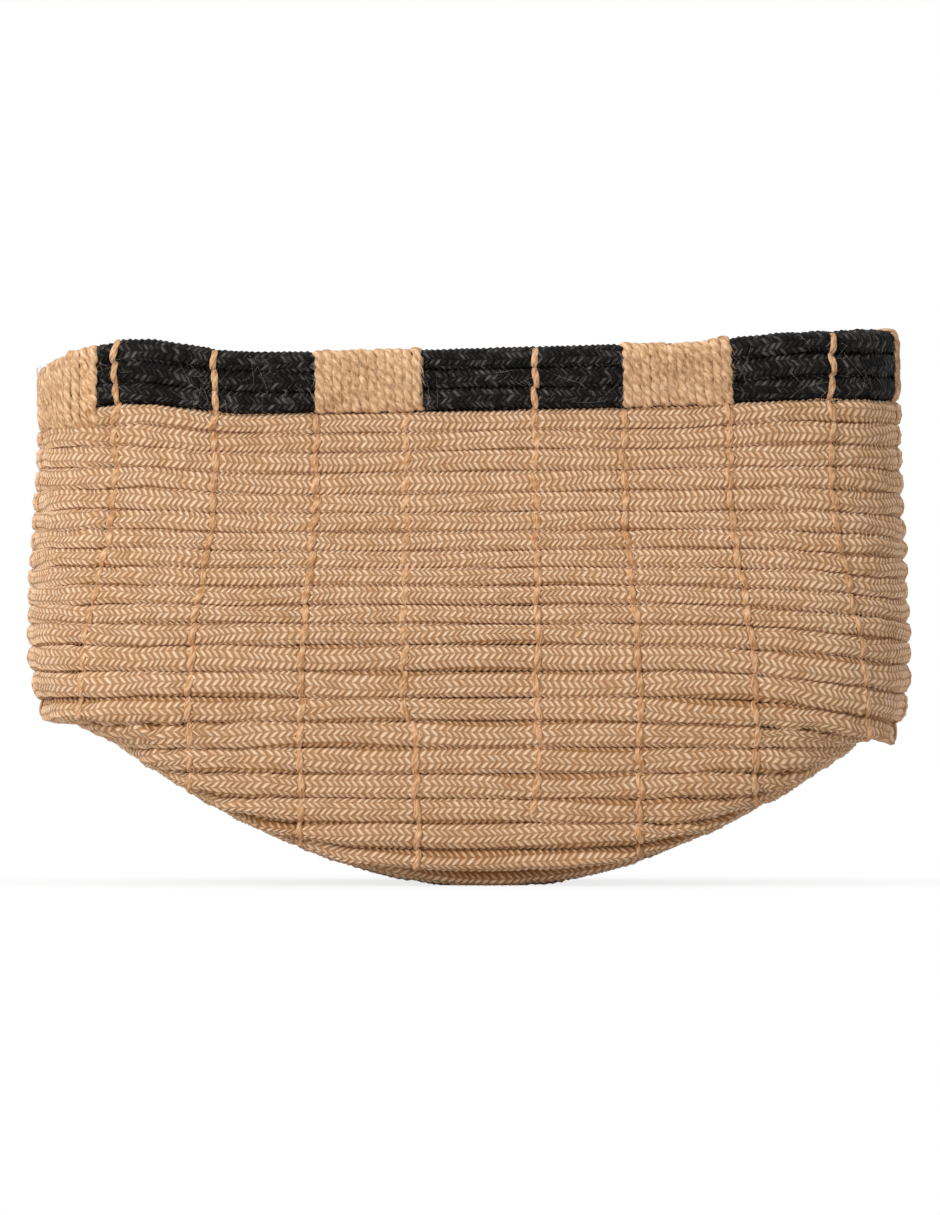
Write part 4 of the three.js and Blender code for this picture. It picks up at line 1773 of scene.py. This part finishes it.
@dataclass(frozen=True)
class LooseFibres:
    """Fine hairs of jute that stand off the twine, and some that lie over the black rows.

    Sizes are millimetres. Heights are measured from the middle rim row.

    Args:
        places: places on the rim.
        pale: finish of the hairs over the black rows.
        tan: finish of the hairs on the twine.
        over_rope: kind of the hairs over the black rows.
        on_twine: kind of the hairs on the twine.
        near_edges: hairs near a wrap or a line of stitches.
        elsewhere: other hairs over the black rows.
        on_wraps: hairs on the wraps.
        scatter: spread of the hairs near an edge.
        highest: height of the highest hair.
        top: height of the highest start.
        fall: how far below the top the starts over the black rows go.
        fall_power: power that draws them to the lower rows.
        wrap_bottom: height of the lowest start on a wrap.
        corner_bottom: the same on the corner wrap.
        wrap_margin: width at both ends of a wrap where no hair starts.
        lean: mean lean of the hairs on the twine.
        lean_spread: spread of that lean.
        length_shape: shape of the gamma distribution of the lengths.
        bend_spread: spread of the bends, in radians.
        rounding: how much nearer the hairs lie between two rows.
        tip_share: how much thinner a hair is at its tip.
        points: points along a hair.
        sides: sides of a hair.
        seed: start of the chances.
    """

    places: RimPlaces
    pale: bpy.types.Material
    tan: bpy.types.Material
    over_rope: HairKind = HairKind("loose_fibres", 2.1, (0.2, 1.6), 0.25, 0.06)
    on_twine: HairKind = HairKind("twine_fuzz", 0.75, (0, 0.5), 1.25, 0.2)
    near_edges: int = 220
    elsewhere: int = 130
    on_wraps: int = 4500
    scatter: float = 3.5
    highest: float = 11.5
    top: float = 11
    fall: float = 24
    fall_power: float = 0.6
    wrap_bottom: float = -11
    corner_bottom: float = -20
    wrap_margin: float = 1
    lean: float = 0.3
    lean_spread: float = 0.25
    length_shape: float = 4
    bend_spread: float = 0.4
    rounding: float = 0.4
    tip_share: float = 0.6
    points: int = 6
    sides: int = 3
    seed: int = 4

    def build(self) -> None:
        """Builds and dresses both groups of fibres."""
        chance = np.random.default_rng(self.seed)
        self.strew(self.over_rope, chance, self.starts_over_rope(chance), self.pale)
        self.strew(self.on_twine, chance, self.starts_on_twine(chance), self.tan)

    def starts_over_rope(self, chance: np.random.Generator) -> Starts:
        """Starts over the black rows: most of them near a wrap or a line of stitches.

        Args:
            chance: source of the chances.

        Returns:
            The starts.
        """
        places = self.places
        half, middle = places.wrap_width / 2, places.whole / places.wraps / 2
        edges = (places.wrap_places()[:, None] + np.array([-half, half, middle])).ravel()
        near = chance.choice(edges, self.near_edges) + chance.normal(0, self.scatter, self.near_edges)
        place = np.append(near, chance.uniform(0, places.whole, self.elsewhere))
        height = self.top - self.fall * chance.random(len(place)) ** self.fall_power
        return Starts(place, height, chance.uniform(0, FULL_TURN, len(place)))

    def starts_on_twine(self, chance: np.random.Generator) -> Starts:
        """Starts on the wraps: the hairs point up or down, and lean a little.

        Args:
            chance: source of the chances.

        Returns:
            The starts.
        """
        places, count = self.places, self.on_wraps
        half = places.wrap_width / 2 - self.wrap_margin
        wrap = chance.integers(0, places.wraps, count)
        place = places.wrap_places()[wrap] + chance.uniform(-half, half, count)
        low = np.where(wrap == places.wraps - 1, self.corner_bottom, self.wrap_bottom)
        height = low + (self.top - low) * chance.random(count)
        upright = math.pi / 2 + chance.integers(0, 2, count) * math.pi
        return Starts(place, height, upright + chance.normal(self.lean, self.lean_spread, count))

    def strew(
        self,
        kind: HairKind,
        chance: np.random.Generator,
        starts: Starts,
        material: bpy.types.Material,
    ) -> None:
        """Builds and dresses a group of fibres.

        A fibre is an arc in the face of the rim that turns at an even rate and rises off the rope as
        a half sine. It is a three-sided tube, tapered towards its tip.

        Args:
            kind: kind of fibre.
            chance: source of the lengths, heights and bends.
            starts: where the fibres start.
            material: finish of the group.
        """
        form, count = self.places.form, len(starts.place)
        length = chance.gamma(self.length_shape, kind.length_scale, count)
        rise = chance.uniform(*kind.rise, count)
        bend = chance.normal(0, self.bend_spread, count)
        along = np.linspace(0, 1, self.points)[None, :]
        direction = starts.heading[:, None] + bend[:, None] * along
        step = length[:, None] / (self.points - 1)
        across, above = (
            np.cumsum(part * step, axis=1) - part[:, :1] * step
            for part in (np.cos(direction), np.sin(direction))
        )
        above = np.minimum(starts.height[:, None] + above, self.highest)
        turn = self.places.turn_at((starts.place[:, None] + across).ravel())
        out = form.outward(turn)
        rounding = self.rounding * (1 - np.cos(FULL_TURN * above / form.upper_pitch)) / 2
        depth = form.rim_rope_thickness / 2 + kind.stand_off
        lift = depth - rounding + rise[:, None] * np.sin(np.pi * along)
        path = form.soft_path(turn) + form.upward(turn) * above.reshape(-1, 1)
        path = (path + out * lift.reshape(-1, 1)).reshape(count, self.points, 3)
        tangent = unit(np.gradient(path, axis=1))
        beside = unit(np.cross(tangent, out.reshape(path.shape)))
        proud = np.cross(beside, tangent)
        taper = kind.thickness / 2 * (1 - self.tip_share * along[..., None])
        angles = np.arange(self.sides) * FULL_TURN / self.sides
        turned = [beside * math.cos(angle) + proud * math.sin(angle) for angle in angles]
        rings = np.stack([path + part * taper for part in turned], axis=2)
        quads, caps = self.faces(count)
        piece = mesh_object(kind.name, rings.reshape(-1, 3), quads, caps, None)
        finish_piece(piece, material)

    def faces(self, count: int) -> tuple[np.ndarray, np.ndarray]:
        """Faces of a group of fibres: the same for each, with its own vertices.

        Args:
            count: count of fibres.

        Returns:
            The quads of the sides and the triangles of both ends.
        """
        sides, end = self.sides, (self.points - 1) * self.sides
        ring, side = np.meshgrid(np.arange(self.points - 1), np.arange(sides), indexing="ij")
        here, after = ring * sides + side, ring * sides + (side + 1) % sides
        quad = np.stack([here, here + sides, after + sides, after], axis=-1).reshape(-1, 4)
        cap = np.array([(0, 1, 2), (end + 2, end + 1, end)])
        first = np.arange(count)[:, None, None] * self.points * sides
        return (quad[None] + first).reshape(-1, 4), (cap[None] + first).reshape(-1, 3)


# Studio


@dataclass(frozen=True)
class Lamp:
    """A square area lamp.

    Args:
        name: name of the lamp.
        place: where it hangs, in metres.
        size: length of its side, in metres.
        power: power in watts.
    """

    name: str
    place: tuple[float, float, float]
    size: float
    power: float

    def hang(self, target: tuple[float, float, float]) -> None:
        """Hangs the lamp and points it.

        Args:
            target: where it points.
        """
        data = bpy.data.lights.new(self.name, "AREA")
        data.size = self.size
        data.energy = self.power
        lamp = bpy.data.objects.new(self.name, data)
        lamp.location = self.place
        x, y, z = np.array(self.place) - np.array(target)
        lamp.rotation_euler = (math.atan2(math.hypot(x, y), z), 0, math.atan2(y, x) + math.pi / 2)
        bpy.context.scene.collection.objects.link(lamp)


@dataclass(frozen=True)
class Studio:
    """Pale floor, plain soft light from the left, and the camera of the photograph.

    Sizes are metres.

    Args:
        picture_height: height of what the picture shows, at the front of the basket.
        middle_x: place of the picture's middle.
        middle_z: height of the picture's middle.
        front: place of the front of the basket.
        distance: distance of the camera from it, far because the photograph is nearly parallel.
        sensor: height of the camera's sensor, in millimetres.
        clip_end: how far the camera sees.
        floor_half: half length of the floor.
        floor_colour: colour of the floor, a white that doesn't clip.
        floor_roughness: roughness of the floor.
        fade_reach: distances from the middle between which the floor fades to plain white.
        near_white: share of plain white in the middle, the rest of which keeps the shadow.
        surround: strength of the surround's light.
        target: where the lamps point.
        lamps: the lamps.
    """

    picture_height: float = 0.54675
    middle_x: float = 0.00045
    middle_z: float = 0.12555
    front: float = -0.13
    distance: float = 9.0
    sensor: float = 36
    clip_end: float = 100
    floor_half: float = 12.0
    floor_colour: str = "#DDDBD8"
    floor_roughness: float = 0.9
    fade_reach: tuple[float, float] = (0.05, 0.3)
    near_white: float = 0.8
    surround: float = 0.5
    target: tuple[float, float, float] = (0, 0, 0.12)
    lamps: tuple[Lamp, ...] = (
        Lamp("key", (-1.37, -1.63, 1.15), 1.3, 39.5),
        Lamp("fill", (2.2, -1.8, 0.9), 2.0, 8),
        Lamp("top", (0.0, 0.4, 2.4), 1.8, 14),
    )

    def camera(self) -> None:
        """Sets the camera level with the basket, as far away as the photograph's."""
        data = bpy.data.cameras.new("camera")
        data.sensor_fit = "VERTICAL"
        data.sensor_height = self.sensor
        data.lens = self.sensor * self.distance / self.picture_height
        data.clip_end = self.clip_end
        camera = bpy.data.objects.new("camera", data)
        camera.location = (self.middle_x, self.front - self.distance, self.middle_z)
        camera.rotation_euler = (math.pi / 2, 0, 0)
        bpy.context.scene.collection.objects.link(camera)
        bpy.context.scene.camera = camera

    @staticmethod
    def seen(tree: bpy.types.NodeTree) -> bpy.types.NodeSocket:
        """Tells what is seen from what only gives light.

        Args:
            tree: node tree.

        Returns:
            1 for a camera, glossy or transmission ray, 0 for others.
        """
        path = add_node(tree, "LightPath", {})
        seen = path["Is Camera Ray"]
        for other in ("Is Glossy Ray", "Is Transmission Ray"):
            seen = add_node(tree, "Math", {0: seen, 1: path[other]}, operation="MAXIMUM")[0]
        return seen

    def floor(self) -> None:
        """Lays a white floor that keeps the shadow near the basket and fades to plain white."""
        mesh = bpy.data.meshes.new("floor")
        half = self.floor_half
        corners = [(-half, -half, 0), (half, -half, 0), (half, half, 0), (-half, half, 0)]
        mesh.from_pydata(corners, [], [(0, 1, 2, 3)])
        floor = bpy.data.objects.new("floor", mesh)
        bpy.context.scene.collection.objects.link(floor)
        material, tree, shader = new_material("matt white floor")
        shader.inputs["Base Color"].default_value = linear(self.floor_colour)
        shader.inputs["Roughness"].default_value = self.floor_roughness
        glow = add_node(tree, "Emission", {0: linear("#FFFFFF"), 1: 1.0})[0]
        place = add_node(tree, "TexCoord", {})["Object"]
        away = add_node(tree, "VectorMath", {0: place}, operation="LENGTH")[1]
        near, far = self.fade_reach
        fade = add_node(tree, "MapRange", {0: away, 1: near, 2: far, 3: self.near_white, 4: 1.0})[0]
        share = add_node(tree, "Math", {0: self.seen(tree), 1: fade}, operation="MULTIPLY")[0]
        mix = add_node(tree, "MixShader", {0: share, 1: shader.outputs[0], 2: glow})[0]
        tree.links.new(mix, tree.nodes["Material Output"].inputs[0])
        mesh.materials.append(material)

    def world(self) -> None:
        """Sets a soft white surround, plain white where the camera sees it."""
        world = bpy.data.worlds.new("surround")
        bpy.context.scene.world = world
        world.use_nodes = True
        tree = world.node_tree
        back = tree.nodes["Background"]
        strength = add_node(tree, "MapRange", {0: self.seen(tree), 3: self.surround, 4: 1.0})[0]
        back.inputs[0].default_value = linear("#FFFFFF")
        tree.links.new(strength, back.inputs[1])

    def build(self) -> None:
        """Sets up the whole studio."""
        self.camera()
        self.floor()
        self.world()
        for lamp in self.lamps:
            lamp.hang(self.target)
        bpy.context.scene.view_settings.view_transform = "Standard"


def main() -> None:
    """Builds the basket and its studio."""
    logging.basicConfig(level=logging.INFO, format="%(name)s %(message)s")
    Studio().build()
    places = RimPlaces(BasketForm())
    braid = BraidedRope(places, places.lines())
    jute = NATURAL_BRAID.material()
    RimRope(braid).build()
    WallRope(braid, jute).build()
    BaseRope(braid, jute).build()
    TwineWraps(places).build()
    StitchedLines(places).build()
    LooseFibres(places, BLEACHED_FIBRE.material(), TWINE_FIBRE.material()).build()


if __name__ == "__main__":
    main()
